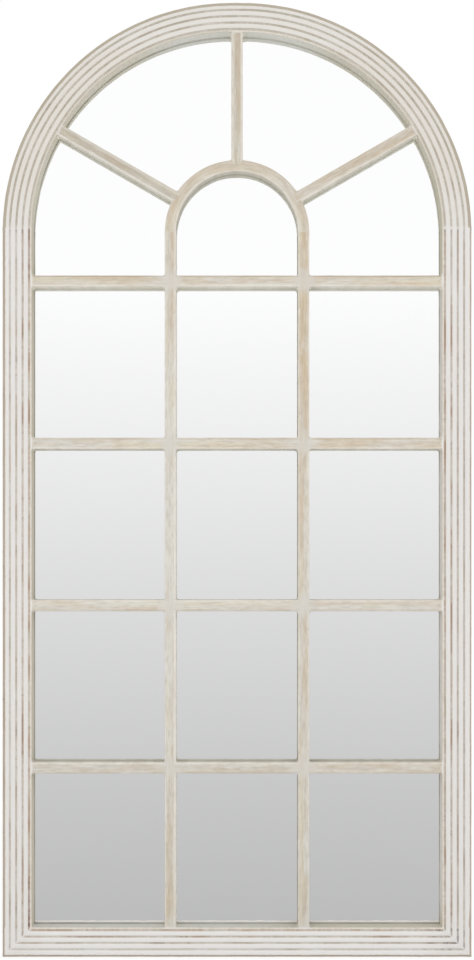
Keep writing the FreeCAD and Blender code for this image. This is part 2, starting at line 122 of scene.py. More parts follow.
# Paint in the corners between the bars and along their ends
FILLET_RADIUS = 5 * MM
FILLET_TUCK = 1.2 * MM        # how far it reaches into the wood behind it
FILLET_TIP = 0.5              # its size at the tip, as a share
BAR_FILLET = (6.2 * MM, 3.9 * MM)       # where it starts to narrow and where it ends
FRAME_FILLET = (10.5 * MM, 7.5 * MM)
UPPER_FILLET = 0.7            # size over a cross bar, under it, and beside a spoke
LOWER_FILLET = 1.1
SPOKE_FILLET = 0.8
SPOKE_SINK = 0.4 * MM
FILLET_SET_BACK = 1 * MM      # how far it stands out from the lip
FILLET_CLEAN_AND_LIT = (0.2, 0.95)    # how clean and lit it is at the lowest cross bar and at the top one; the light is painted
SEAL_RADIUS = 1.25 * MM
SEAL_LENGTH = 35 * MM
SEAL_FLATNESS = 0.6
SEAL_OVERLAP = 0.5 * MM
SEAL_SINK = 0.2 * MM
SEAL_DENTS = (0.6 * MM, 6 * MM)
# Pale bead on the glass along the rail: a painted reflection.
SEAM_HEIGHT = 61.7 * MM
SEAM_HALF = 2.1 * MM
SEAM_BULGE = SEAM_HALF * 0.8
SEAM_DENTS = (SEAM_HALF * 0.7, 14 * MM)

# Fittings on the back, with profiles as radius and rise in millimetres
FITTING_OFFSET = 434.5 * MM   # middle of the mirror to the middle of each fitting
RING_PIVOT = (19.75 * MM, 1345 * MM)
RING_WIRE = 1.75 * MM
RING_HALF_WIDTH = 12 * MM
RING_SIDE = 9 * MM
RING_CORNER = 3.5 * MM
SCREW_HEIGHTS = (1316.75 * MM, 1296.75 * MM)
SCREW_TURNS = (25, -40)
SCREW_SEAT = 17.5 * MM
SCREW_HEAD = ((0, 2.2), (1.2, 2.13), (2.2, 1.85), (3.0, 1.3), (3.4, 0.7), (3.5, 0.3), (3.4, 0))
SCREW_SHANK = 1.75 * MM
SCREW_LENGTH = 16 * MM
SCREW_POINT = 3 * MM
HEAD_EDGE = 0.1 * MM
SLOT_HALF = 0.45 * MM
SLOT_DEPTH = 0.7 * MM
SLOT_EDGE = 0.6 * MM          # the slot runs out at this height of the head
BUMPER_HEIGHT = 70 * MM
BUMPER_SEAT = 16 * MM
BUMPER_PROFILE = ((0, 4), (4.4, 4), (5.3, 3.8), (5.75, 3.3), (6.0, 2.6), (6.8, 0.5), (7.0, 0), (0, 0))

# Each bar's wash, at its foot, middle and head: how far it has warmed to tan, and how thin it has worn.
# Then how far the edge away from the eye is rubbed and darkened with painted shade, and how clean the
# sides are.
# Where that last value is high, the sides and the near edge get pale painted light; where it is low, the
# sides get dull grey painted shade.
BAR_WEAR = {
    "glazing_bar_left": ((0.50, -0.2, 0.45), (0.40, 0.0, 0.25), (0.0, 1.0)),
    "glazing_bar_right": ((0.30, 0.25, 1.10), (0.40, 0.1, 0.35), (0.0, 0.0)),
    "cross_bar_1": ((0.10, 0.15, 0.40), (0.25, 0.3, 0.20), (0.5, 0.2)),
    "cross_bar_2": ((0.30, 0.15, 0.20), (0.00, 0.0, 0.10), (0.5, 0.4)),
    "cross_bar_3": ((0.20, 0.45, 0.45), (0.10, 0.0, 0.10), (0.6, 0.7)),
    "cross_bar_4": ((0.55, 0.40, 0.65), (0.15, 0.1, 0.00), (1.0, 0.95)),
    "inner_arch_hoop": ((0.70, 0.50, 0.25), (0.25, 0.3, 0.25), (0.6, 0.5)),
    "spoke_left": ((-0.3, -0.3, 0.15), (0.85, 0.9, 0.85), (0.5, 0.75)),
    "spoke_centre": ((0.30, 0.35, 0.50), (0.55, 0.6, 0.65), (0.2, 0.75)),
    "spoke_right": ((0.50, 0.45, 0.45), (0.30, 0.4, 0.45), (0.5, 0.75)),
}


# Modelling

def start_vertex(name, corner):
    """New piece in edit mode that is one loose vertex."""
    bpy.ops.object.select_all(action="DESELECT")
    bpy.ops.mesh.primitive_plane_add(size=MM, location=corner)
    piece = bpy.context.active_object
    piece.name = name
    piece.data.name = name
    bpy.ops.object.transform_apply(location=True, rotation=False, scale=False)
    bpy.ops.object.mode_set(mode="EDIT")
    bpy.ops.mesh.select_all(action="SELECT")
    bpy.ops.mesh.merge(type="CENTER")
    return piece


def drawn_line(name, corners):
    """New piece in edit mode: a line drawn from corner to corner."""
    piece = start_vertex(name, corners[0])
    for before, after in zip(corners, corners[1:]):
        bpy.ops.mesh.extrude_region_move(TRANSFORM_OT_translate={"value": after - before})
    bpy.ops.mesh.select_all(action="SELECT")
    return piece


def section_face(name, corners):
    """New piece in edit mode: a cross-section drawn from corner to corner and filled."""
    piece = drawn_line(name, corners)
    bpy.ops.mesh.edge_face_add()
    return piece


def push(step):
    """Extrude what is selected."""
    bpy.ops.mesh.extrude_region_move(TRANSFORM_OT_translate={"value": step})


def cut_rings(piece, along, length):
    """Even cuts across a straight length, so that it can be dented and worn."""
    bpy.ops.mesh.select_mode(type="EDGE")
    bpy.ops.mesh.select_all(action="DESELECT")
    mesh = bmesh.from_edit_mesh(piece.data)
    for edge in mesh.edges:
        run = edge.verts[1].co - edge.verts[0].co
        edge.select_set(abs(run.dot(along)) > length * 0.9)
    bmesh.update_edit_mesh(piece.data)
    bpy.ops.mesh.subdivide(number_cuts=round(length / RING_STEP))


def saw(place, normal):
    """Cut the whole piece with a plane, drop what is on the side of the normal, and close the cut."""
    bpy.ops.mesh.select_all(action="SELECT")
    facing = Vector(normal).normalized()
    bpy.ops.mesh.bisect(plane_co=place, plane_no=facing, use_fill=True, clear_outer=True,
                        threshold=MERGE_REACH)


def close_piece(piece, sharp=40):
    """Finish a piece: normals outwards, smooth faces, and sharp edges where they turn."""
    bpy.ops.mesh.select_mode(type="VERT")
    bpy.ops.mesh.select_all(action="SELECT")
    bpy.ops.mesh.normals_make_consistent(inside=False)
    bpy.ops.object.mode_set(mode="OBJECT")
    bpy.ops.object.shade_smooth_by_angle(angle=math.radians(sharp))
    return piece


def turned_piece(name, profile, middle):
    """New piece in edit mode, turned from radius and depth round a line that runs straight back."""
    corners = [Vector((middle[0] + radius, back, middle[1])) for radius, back in profile]
    piece = drawn_line(name, corners)
    centre = (middle[0], 0, middle[1])
    bpy.ops.mesh.spin(steps=32, angle=2 * math.pi, center=centre, axis=(0, 1, 0))
    merge_points()
    return piece


def merge_points():
    """Make one point of those that lie on each other."""
    bpy.ops.mesh.select_all(action="SELECT")
    bpy.ops.mesh.remove_doubles(threshold=MERGE_REACH)


def copy_piece(piece, place, degrees=0.0, size=1.0):
    """Copy of a piece that was modelled at the middle of the frame: sized, turned, then moved.

    It turns the way that a clock's hand goes back, as the mirror is looked into.
    """
    bpy.ops.object.select_all(action="DESELECT")
    piece.select_set(True)
    bpy.context.view_layer.objects.active = piece
    bpy.ops.object.duplicate()
    middle = (0, 0, 0)
    bpy.ops.transform.resize(value=(size, 1, size), center_override=middle)
    bpy.ops.transform.rotate(value=math.radians(degrees), orient_axis="Y", center_override=middle)
    bpy.ops.transform.translate(value=place)
    bpy.ops.object.transform_apply(location=True, rotation=True, scale=True)
    return bpy.context.active_object


def discard(piece):
    bpy.ops.object.select_all(action="DESELECT")
    piece.select_set(True)
    bpy.ops.object.delete()


def join_copies(name, copies):
    """One piece from all the copies."""
    bpy.ops.object.select_all(action="DESELECT")
    for piece in copies:
        piece.select_set(True)
    bpy.context.view_layer.objects.active = copies[0]
    bpy.ops.object.join()
    piece = bpy.context.active_object
    piece.name = name
    piece.data.name = name
    return piece


def vertex_places(piece):
    places = np.empty(len(piece.data.vertices) * 3)
    piece.data.vertices.foreach_get("co", places)
    return places.reshape(-1, 3)


def mark(piece, name, *columns):
    """Keep three values at each point of a piece, for its material."""
    marks = piece.data.attributes.new(name, "FLOAT_VECTOR", "POINT")
    marks.data.foreach_set("vector", np.column_stack(columns).ravel().astype(np.float32))


def mark_grain(piece, across, back, along):
    """Keep each point's place in the wood: across the face, back from the front, along the length."""
    mark(piece, "grain", across, back, along)


def mark_wear(piece, frame_gap, share, wear):
    """Keep each point's distance from the frame along its bar, and the wear of its wash and edges, with
    the painted shade and painted light that go with its edges and sides.
    """
    warmth, thinness = (np.interp(share, (0, 0.5, 1), values) for values in wear[:2])
    far_rub, clean = wear[2]
    level = np.zeros(len(share))
    mark(piece, "wear", frame_gap, warmth, thinness)
    mark(piece, "edges", level + far_rub, level + clean, level)


def weather(piece, weights, depth, size):
    """Press shallow dents into the points that the weights pick out."""
    group = piece.vertex_groups.new(name="worn")
    for index in np.flatnonzero(weights > 0):
        group.add([int(index)], float(weights[index]), "REPLACE")
    texture = bpy.data.textures.new(f"{piece.name}_dents", "CLOUDS")
    texture.noise_scale = size
    dents = piece.modifiers.new("dents", "DISPLACE")
    dents.texture = texture
    dents.texture_coords = "LOCAL"
    dents.vertex_group = group.name
    dents.strength = depth
    dents.mid_level = 1.0
    bpy.ops.object.select_all(action="DESELECT")
    bpy.context.view_layer.objects.active = piece
    piece.select_set(True)
    bpy.ops.object.modifier_apply(modifier=dents.name)
    piece.vertex_groups.clear()


def dent_front(piece, back, ends, dents):
    """Dent the front of a length of wood, less and less towards the glass and both ends."""
    depth, size, margin, taper = dents
    front = np.clip((GLASS_FRONT - margin - back) / taper, 0, 1)
    weather(piece, front * np.clip(ends / DENT_END, 0, 1), depth, size)


# Frame members

def moulding_section():
    """Half-round arris, four grooves between crowned reeds, lip, sloping sight edge and rebates."""
    steps = 6
    corners = [(0.0, DEPTH - BACK_CHAMFER), (0.0, SIDE_CUT)]
    for step in range(steps + 1):
        turn = math.radians(90 * step / steps)
        corners.append((ARRIS_ROUND * (1 - math.cos(turn)), ARRIS_ROUND * (1 - math.sin(turn))))
    start = ARRIS_ROUND
    for number, middle in enumerate(GROOVE_MIDDLES):
        end = middle - GROOVE_HALF
        for share in REED_SHARES:
            if number == 0 and share < 0:
                continue
            back = REED_CROWN * share ** 2 + REED_ROLL * share ** 8
            corners.append(((start + end) / 2 + share * (end - start) / 2, back))
        for across, drop in GROOVE_CURVE:
            corners.append((middle + GROOVE_HALF * across, GROOVE_DEPTH * drop))
        start = middle + GROOVE_HALF
        if number < len(GROOVE_MIDDLES) - 1:
            corners.append((start, REED_CROWN + REED_ROLL))
    corners += [(start + across, LIP_DROP + drop) for across, drop in LIP_FOOT]
    corners += [(FACE_WIDTH + across, LIP_DROP + drop) for across, drop in LIP_EDGE]
    for share in SLOPE_SHARES:
        slope = FACE_WIDTH + (SIGHT_WIDTH - FACE_WIDTH) * share
        corners.append((slope, LIP_DROP + (GLASS_FRONT - LIP_DROP) * share))
    run_back = GLASS_FRONT + PAINT_RUN
    run_edge = SIGHT_WIDTH - RUN_THICK
    corners += [
        (SIGHT_WIDTH, run_back), (run_edge, run_back), (run_edge, GLASS_FRONT),
        (GLASS_REBATE, GLASS_FRONT), (GLASS_REBATE, GLASS_BACK),
        (BOARD_REBATE, GLASS_BACK), (BOARD_REBATE, DEPTH), (BACK_CHAMFER, DEPTH),
    ]
    return corners


def stile(name, side):
    corners = [Vector((side * (HALF_WIDTH - u), FRONT + v, 0)) for u, v in moulding_section()]
    piece = section_face(name, corners)
    push((0, 0, SPRING_JOINT))
    cut_rings(piece, Vector((0, 0, 1)), SPRING_JOINT)
    saw((side * HALF_WIDTH, 0, 0), (-side, 0, -1))
    close_piece(piece)
    places = vertex_places(piece)
    across = HALF_WIDTH - side * places[:, 0]
    back = places[:, 1] - FRONT
    mark_grain(piece, across, back, places[:, 2] + side)
    ends = np.minimum(SPRING_JOINT - places[:, 2], places[:, 2] - across)
    dent_front(piece, back, ends, FRAME_DENTS)
    return piece


def bottom_rail():
    corners = [Vector((-HALF_WIDTH, FRONT + v, u)) for u, v in moulding_section()]
    piece = section_face("painted_bottom_rail", corners)
    push((2 * HALF_WIDTH, 0, 0))
    cut_rings(piece, Vector((1, 0, 0)), 2 * HALF_WIDTH)
    for side in (-1, 1):
        saw((side * HALF_WIDTH, 0, 0), (side, 0, 1))
    close_piece(piece)
    places = vertex_places(piece)
    back = places[:, 1] - FRONT
    mark_grain(piece, places[:, 2], back, places[:, 0] + RAIL_GRAIN)
    ends = HALF_WIDTH - np.abs(places[:, 0]) - places[:, 2]
    dent_front(piece, back, ends, FRAME_DENTS)
    return piece


def arch_quarter(name, side):
    corners = [Vector((side * (HALF_WIDTH - u), FRONT + v, SPRING)) for u, v in moulding_section()]
    piece = section_face(name, corners)
    centre = Vector((side * CROWN_FLAT, 0, SPRING))
    radius = HALF_WIDTH - CROWN_FLAT
    steps = round(radius * math.pi / 2 / RING_STEP)
    bpy.ops.mesh.spin(steps=steps, angle=math.pi / 2, center=centre, axis=(0, side, 0))
    push((-side * CROWN_FLAT, 0, 0))
    saw((0, 0, SPRING_JOINT), (0, 0, -1))
    close_piece(piece)
    places = vertex_places(piece)
    out = side * places[:, 0] - CROWN_FLAT
    up = places[:, 2] - SPRING
    reach = np.where(out < 0, up, np.hypot(out, up))
    turn = np.where(out < 0, math.pi / 2, np.arctan2(up, out))
    back = places[:, 1] - FRONT
    along = SPRING + turn * radius - np.minimum(out, 0)
    mark_grain(piece, radius - reach, back, along + side)
    ends = np.minimum(places[:, 2] - SPRING_JOINT, side * places[:, 0])
    dent_front(piece, back, ends, FRAME_DENTS)
    return piece


# Glazing bars

def bar_section(sink=0.0):
    """Nearly flat face, rounded shoulders and straight sides down to the glass."""
    half_corners = list(BAR_CROWN)
    steps = 5
    for step in range(1, steps + 1):
        turn = math.radians(90 * step / steps)
        across = BAR_FACE_HALF + (BAR_HALF - BAR_FACE_HALF) * math.sin(turn)
        drop = SHOULDER_START + (SHOULDER_DROP - SHOULDER_START) * (1 - math.cos(turn))
        half_corners.append((across, drop))
    depth = GLASS_FRONT - BAR_FRONT
    half_corners += [(BAR_HALF, depth * share) for share in BAR_SIDE_SHARES]
    half_corners.append((BAR_HALF, depth + PAINT_RUN))
    right = [(u, BAR_FRONT + max(v, sink)) for u, v in half_corners]
    left = [(-u, v) for u, v in reversed(right[1:])]
    return left + right


def sight_cut(lip, outward):
    """Saw a bar's end to the slope of the sight edge that it stands against."""
    outward = Vector(outward)
    lean = outward * (GLASS_FRONT - LIP_DROP) + Vector((0, SIGHT_WIDTH - FACE_WIDTH, 0))
    saw(Vector(lip) + outward * END_SINK, lean)


def straight_bar(name, foot, outward, length, sink):
    """Bar along a direction in the plane of the mirror, starting at its foot."""
    outward = Vector(outward).normalized()
    sideways = outward.cross(Vector((0, 1, 0)))
    foot = Vector(foot)
    corners = [foot + sideways * u + Vector((0, FRONT + v, 0)) for u, v in bar_section(sink)]
    piece = section_face(name, corners)
    push(outward * length)
    cut_rings(piece, outward, length)
    return piece


def finish_bar(piece, foot, outward, length, grain_start, node, framed):
    """Close a straight bar, mark its grain and wear, and dent it.

    The ends that stand on the frame are 0 for the foot and 1 for the head.
    """
    close_piece(piece, BAR_SHARP)
    outward = np.array(Vector(outward).normalized())
    sideways = np.array([-outward[2], 0, outward[0]])
    places = vertex_places(piece)
    reach = places - np.array(foot)
    along = reach @ outward
    back = places[:, 1] - FRONT
    middle = np.array(foot) + outward * length / 2
    # Across runs away from the eye, so that the far edge gets the painted shade and the near edge the
    # painted highlight.
    outer_hand = 1 if sideways @ (middle - EYE_LEVEL) >= 0 else -1
    mark_grain(piece, outer_hand * (reach @ sideways), back, along + grain_start)
    end_gaps = (along, length - along)
    frame_gap = np.minimum.reduce([end_gaps[end] - END_TUCK for end in framed])
    mark_wear(piece, frame_gap, along / length, BAR_WEAR[node])
    dent_front(piece, back, np.minimum(*end_gaps), BAR_DENTS)
    return piece


def upright_bar(node, side):
    foot = (side * BAR_OFFSET, 0, FACE_WIDTH - END_TUCK)
    length = SPRING - foot[2]
    piece = straight_bar(f"painted_{node}", foot, (0, 0, 1), length, 0.0)
    sight_cut((0, FRONT + LIP_DROP, FACE_WIDTH), (0, 0, -1))
    return finish_bar(piece, foot, (0, 0, 1), length, UPRIGHT_GRAIN + side, node, (0,))


def cross_bar(number):
    node = f"cross_bar_{number}"
    reach = HALF_WIDTH - FACE_WIDTH
    foot = (-reach - END_TUCK, 0, CROSS_HEIGHTS[number - 1])
    length = -2 * foot[0]
    piece = straight_bar(f"painted_{node}", foot, (1, 0, 0), length, CROSS_SINK)
    for side in (-1, 1):
        sight_cut((side * reach, FRONT + LIP_DROP, 0), (side, 0, 0))
    return finish_bar(piece, foot, (1, 0, 0), length, CROSS_GRAIN + 2 * number, node, (0, 1))


def reach_to_arch(degrees, inset):
    """Distance from the middle of the spring line to the arch, or to a line that lies inside it."""
    turn = math.radians(degrees)
    radius = HALF_WIDTH - CROWN_FLAT - inset
    beside = CROWN_FLAT * math.sin(turn)
    return CROWN_FLAT * abs(math.cos(turn)) + math.sqrt(radius ** 2 - beside ** 2)


def spoke(node, degrees):
    turn = math.radians(degrees)
    outward = Vector((math.cos(turn), 0, math.sin(turn)))
    start = BAR_OFFSET + END_TUCK
    foot = Vector((0, 0, SPRING)) + outward * start
    length = reach_to_arch(degrees, FACE_WIDTH) + END_TUCK - start
    piece = straight_bar(f"painted_{node}", foot, outward, length, CROSS_SINK)
    lip = Vector((0, FRONT + LIP_DROP, SPRING)) + outward * reach_to_arch(degrees, FACE_WIDTH)
    sight_cut(lip, outward)
    return finish_bar(piece, foot, outward, length, SPOKE_GRAIN + degrees / 10, node, (1,))


def hoop():
    corners = [Vector((-BAR_OFFSET - u, FRONT + v, SPRING)) for u, v in bar_section()]
    piece = section_face("painted_inner_arch_hoop", corners)
    length = math.pi * BAR_OFFSET
    steps = round(length / RING_STEP)
    bpy.ops.mesh.spin(steps=steps, angle=math.pi, center=(0, 0, SPRING), axis=(0, -1, 0))
    close_piece(piece, BAR_SHARP)
    places = vertex_places(piece)
    up = places[:, 2] - SPRING
    radius = np.hypot(places[:, 0], up)
    along = (math.pi - np.arctan2(up, places[:, 0])) * BAR_OFFSET
    back = places[:, 1] - FRONT
    mark_grain(piece, radius - BAR_OFFSET, back, along + HOOP_GRAIN)
    ends = np.minimum(along, length - along)
    warmth, thinness, (far_rub, clean) = BAR_WEAR["inner_arch_hoop"]
    far_rub = far_rub * np.clip(ends / HOOP_RUB_TAPER, 0, 1)
    far_from_frame = np.full(len(along), length)
    mark_wear(piece, far_from_frame, along / length, (warmth, thinness, (far_rub, clean)))
    dent_front(piece, back, ends, BAR_DENTS)
    return piece


# Paint in the corners

def bar_ends():
    """Each bar's end on the frame: its place on the lip and the way it points, in degrees from level."""
    side = HALF_WIDTH - FACE_WIDTH
    ends = [((-side, height), 180) for height in CROSS_HEIGHTS]
    ends += [((side, height), 0) for height in CROSS_HEIGHTS]
    ends += [((across * BAR_OFFSET, FACE_WIDTH), 270) for across in (-1, 1)]
    for degrees in SPOKE_ANGLES.values():
        turn = math.radians(degrees)
        reach = reach_to_arch(degrees, FACE_WIDTH)
        ends.append(((reach * math.cos(turn), SPRING + reach * math.sin(turn)), degrees))
    return ends


def ahead(place, degrees, step, sideways=0.0):
    """Place that lies a step along a direction in the plane of the mirror, and a step to its left."""
    turn = math.radians(degrees)
    across = place[0] + step * math.cos(turn) - sideways * math.sin(turn)
    return across, place[1] + step * math.sin(turn) + sideways * math.cos(turn)


def corner_places():
    """Corners that hold paint: place, the way that each opens, size, and whether it is on the frame."""
    corners = []
    for height in CROSS_HEIGHTS:
        for across in (-BAR_OFFSET, BAR_OFFSET):
            for opens in (45, 135, 225, 315):
                place = ahead((across, height), opens, BAR_HALF * math.sqrt(2))
                size = UPPER_FILLET if opens < 180 else LOWER_FILLET
                corners.append((place, opens, size, False))
    for lip, degrees in bar_ends():
        for hand in (-1, 1):
            place = ahead(lip, degrees, -FILLET_SET_BACK, hand * BAR_HALF)
            corners.append((place, degrees + hand * 135, 1.0, True))
    for degrees in SPOKE_ANGLES.values():
        for hand in (-1, 1):
            place = ahead((0, SPRING), degrees, BAR_OFFSET + BAR_HALF - SPOKE_SINK, hand * BAR_HALF)
            corners.append((place, degrees + hand * 45, SPOKE_FILLET, False))
    return corners


def paint_fillet(name, shoulder, tip):
    """Hollow fill of a corner that opens to the right, from the glass forward to its tip."""
    radius, tuck, steps = FILLET_RADIUS, FILLET_TUCK, 6
    outline = [(-tuck, -tuck), (radius, -tuck)]
    for step in range(steps + 1):
        turn = math.radians(270 - 90 * step / steps)
        outline.append((radius + radius * math.cos(turn), radius + radius * math.sin(turn)))
    outline.append((-tuck, radius))
    half = math.sqrt(0.5)
    foot = GLASS_FRONT + PAINT_RUN
    corners = [Vector(((u + v) * half, FRONT + foot, (v - u) * half)) for u, v in outline]
    piece = section_face(name, corners)
    push((0, shoulder - foot, 0))
    push((0, tip - shoulder, 0))
    bpy.ops.transform.resize(value=(FILLET_TIP, 1, FILLET_TIP), center_override=(0, 0, 0))
    return close_piece(piece)


def corner_fillets():
    between_bars = paint_fillet("bar_fillet", *BAR_FILLET)
    on_frame = paint_fillet("frame_fillet", *FRAME_FILLET)
    plain = (0.0, 0.0, 0.0)
    copies = []
    for (across, height), opens, size, framed in corner_places():
        piece = copy_piece(on_frame if framed else between_bars, (across, 0, height), opens, size)
        places = vertex_places(piece)
        level = np.zeros(len(places))
        mark_grain(piece, level, places[:, 1] - FRONT, places[:, 0] + places[:, 2])
        # Painted light on the fillets grows with height, leaving painted shade low down.
        clean = np.interp(height, (CROSS_HEIGHTS[0], CROSS_HEIGHTS[-1]), FILLET_CLEAN_AND_LIT)
        mark_wear(piece, level + (0.0 if framed else 1.0), level, (plain, plain, (0.0, clean)))
        copies.append(piece)
    discard(between_bars)
    discard(on_frame)
    return join_copies("corner_fillets", copies)


def end_seal():
    """Bead of thick paint across the end of a bar, tapering past both of its edges."""
    bpy.ops.object.select_all(action="DESELECT")
    bpy.ops.mesh.primitive_uv_sphere_add(segments=12, ring_count=24, radius=SEAL_RADIUS)
    piece = bpy.context.active_object
    piece.name = "end_seal"
    bpy.ops.object.mode_set(mode="EDIT")
    bpy.ops.mesh.select_all(action="SELECT")
    drawn_out = (1, SEAL_FLATNESS, SEAL_LENGTH / 2 / SEAL_RADIUS)
    bpy.ops.transform.resize(value=drawn_out, center_override=(0, 0, 0))
    return close_piece(piece)


def mark_run(piece, along):
    """Give a run of paint and the painted reflection along the rail, which have no grain of their own,
    the colours of the paint on a reed.
    """
    level = np.zeros(len(along))
    mark_grain(piece, level + REED_TOP[0], level + REED_TOP[1], along)


def end_seals():
    original = end_seal()
    copies = []
    for lip, degrees in bar_ends():
        across, height = ahead(lip, degrees, SEAL_OVERLAP)
        copies.append(copy_piece(original, (across, FRONT + LIP_DROP + SEAL_SINK, height), degrees))
    discard(original)
    piece = join_copies("end_seals", copies)
    places = vertex_places(piece)
    mark_run(piece, places[:, 0] + places[:, 2])
    weather(piece, np.ones(len(places)), *SEAL_DENTS)
    return piece


def painted_reflection_bead():
    """Uneven pale bead on the glass along the bottom rail, in the three panes between the bars: a
    painted reflection.
    """
    silver = FRONT + GLASS_FRONT + SILVER_DEPTH
    inner, outer = BAR_OFFSET - BAR_HALF, BAR_OFFSET + BAR_HALF
    edge = HALF_WIDTH - SIGHT_WIDTH
    steps = 6
    copies = []
    for number, (start, end) in enumerate(((-edge, -outer), (-inner, inner), (outer, edge))):
        corners = []
        for step in range(steps + 1):
            turn = math.radians(180 * step / steps)
            rise = SEAM_HEIGHT + SEAM_HALF * math.cos(turn)
            corners.append(Vector((start, silver - SEAM_BULGE * math.sin(turn), rise)))
        piece = section_face(f"paint_seam_{number}", corners)
        push((end - start, 0, 0))
        cut_rings(piece, Vector((1, 0, 0)), end - start)
        close_piece(piece)
        places = vertex_places(piece)
        mark_run(piece, places[:, 0])
        weather(piece, np.ones(len(places)), *SEAM_DENTS)
        copies.append(piece)
    return join_copies("rail_painted_reflection_bead", copies)


# Fittings on the back

def d_ring(name, side):
    """Ring of round wire: a straight bar in the eye, two short sides and a half-round bow."""
    back, height = RING_PIVOT
    middle = side * FITTING_OFFSET
    bar_end = RING_HALF_WIDTH - RING_CORNER
    bpy.ops.object.select_all(action="DESELECT")
    bpy.ops.mesh.primitive_circle_add(vertices=16, radius=RING_WIRE, location=(middle, back, height),
                                      rotation=(0, math.radians(90), 0))
    piece = bpy.context.active_object
    piece.name = name
    bpy.ops.object.transform_apply(location=True, rotation=True, scale=True)
    bpy.ops.object.mode_set(mode="EDIT")
    bpy.ops.mesh.select_all(action="SELECT")

    def bow(across, drop, degrees, steps):
        centre = (middle + across, back, height - drop)
        bpy.ops.mesh.spin(steps=steps, angle=math.radians(degrees), center=centre, axis=(0, -1, 0))

    push((bar_end, 0, 0))
    bow(bar_end, RING_CORNER, 90, 8)
    push((0, 0, RING_CORNER - RING_SIDE))
    bow(0, RING_SIDE, 180, 24)
    push((0, 0, RING_SIDE - RING_CORNER))
    bow(-bar_end, RING_CORNER, 90, 8)
    push((bar_end, 0, 0))
    merge_points()
    return close_piece(piece)


def slotted_screw():
    """Round-headed screw with a slot across its head."""
    profile = [(radius * MM, SCREW_SEAT + rise * MM) for radius, rise in SCREW_HEAD]
    tip = SCREW_SEAT - SCREW_LENGTH
    profile += [(SCREW_SHANK, SCREW_SEAT), (SCREW_SHANK, tip + SCREW_POINT), (0, tip)]
    piece = turned_piece("slotted_screw", profile, (0, 0))
    for side in (-1, 1):
        bpy.ops.mesh.select_all(action="SELECT")
        bpy.ops.mesh.bisect(plane_co=(side * SLOT_HALF, 0, 0), plane_no=(1, 0, 0))
    bpy.ops.mesh.select_mode(type="FACE")
    bpy.ops.mesh.select_all(action="DESELECT")
    mesh = bmesh.from_edit_mesh(piece.data)
    for face in mesh.faces:
        middle = face.calc_center_median()
        face.select_set(abs(middle.x) < SLOT_HALF and middle.y > SCREW_SEAT + SLOT_EDGE)
    bmesh.update_edit_mesh(piece.data)
    push((0, -SLOT_DEPTH, 0))
    close_piece(piece)
    # Dark in the screw slots: dirt and painted shade.
    dirt = piece.data.attributes.new("dirt", "FLOAT", "FACE")
    for face in piece.data.polygons:
        on_line = abs(face.center.x) < SLOT_HALF + MERGE_REACH
        in_slot = on_line and face.center.y > SCREW_SEAT + HEAD_EDGE
        dirt.data[face.index].value = 1.0 if in_slot else 0.0
    return piece


def hanger_screws():
    original = slotted_screw()
    copies = []
    for side in (-1, 1):
        for height, degrees in zip(SCREW_HEIGHTS, SCREW_TURNS):
            copies.append(copy_piece(original, (side * FITTING_OFFSET, 0, height), side * degrees))
    discard(original)
    return join_copies("slotted_hanger_screws", copies)


def wall_bumpers():
    profile = [(radius * MM, BUMPER_SEAT + rise * MM) for radius, rise in BUMPER_PROFILE]
    original = close_piece(turned_piece("wall_bumper", profile, (0, 0)))
    copies = [copy_piece(original, (side * FITTING_OFFSET, 0, BUMPER_HEIGHT)) for side in (-1, 1)]
    discard(original)
    return join_copies("rounded_wall_bumpers", copies)


# Mirror

def arched_outline(inset, foot, back):
    """Corners of an arched sheet, from its lower left corner round to its lower right one."""
    radius = HALF_WIDTH - CROWN_FLAT - inset
    steps = 48
    corners = [Vector((inset - HALF_WIDTH, back, foot))]
    for side in (-1, 1):
        for step in range(steps + 1):
            turn = math.radians(90 * (step if side < 0 else steps - step) / steps)
            across = side * (CROWN_FLAT + radius * math.cos(turn))
            corners.append(Vector((across, back, SPRING + radius * math.sin(turn))))
    corners.append(Vector((HALF_WIDTH - inset, back, foot)))
    return corners


def mirror_pane():
    """Sheet whose silver lies back from its rim, as it looks through the thickness of the glass."""
    low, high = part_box("mirror_glass")
    piece = section_face("silvered_pane", arched_outline(HALF_WIDTH - high[0], low[2], high[1]))
    bpy.ops.mesh.select_all(action="SELECT")
    push((0, low[1] - high[1], 0))
    bpy.ops.mesh.inset(thickness=PANE_RIM)
    push((0, SILVER_DEPTH, 0))
    return close_piece(piece)


# Building blocks of the materials

def colour(red, green, blue):
    """Screen colour from 0 to 255 as the linear colour that a material takes."""
    linear = []
    for level in (red, green, blue):
        share = level / 255
        linear.append(share / 12.92 if share <= 0.04045 else ((share + 0.055) / 1.055) ** 2.4)
    return (*linear, 1.0)


def put(tree, kind, inputs=None, **settings):
    """Add a node: its inputs take plain values or the outputs of other nodes."""
    made = tree.nodes.new(kind)
    for name, value in settings.items():
        setattr(made, name, value)
    for name, value in (inputs or {}).items():
        socket = made.inputs[name]
        if isinstance(value, bpy.types.NodeSocket):
            tree.links.new(value, socket)
        else:
            socket.default_value = value
    return made


def calc(tree, operation, first, second=0.0, clamp=False):
    inputs = {0: first, 1: second}
    return put(tree, "ShaderNodeMath", inputs, operation=operation, use_clamp=clamp).outputs[0]


def times(tree, *factors):
    product = factors[0]
    for factor in factors[1:]:
        product = calc(tree, "MULTIPLY", product, factor)
    return product


def distance(tree, across, up):
    squares = calc(tree, "ADD", times(tree, across, across), times(tree, up, up))
    return calc(tree, "SQRT", squares)


def fade(tree, value, start, end, low=0.0, high=1.0):
    """Smooth step from low to high while the value goes from start to end."""
    inputs = {"Value": value, "From Min": start, "From Max": end, "To Min": low, "To Max": high}
    return put(tree, "ShaderNodeMapRange", inputs, interpolation_type="SMOOTHSTEP").outputs[0]


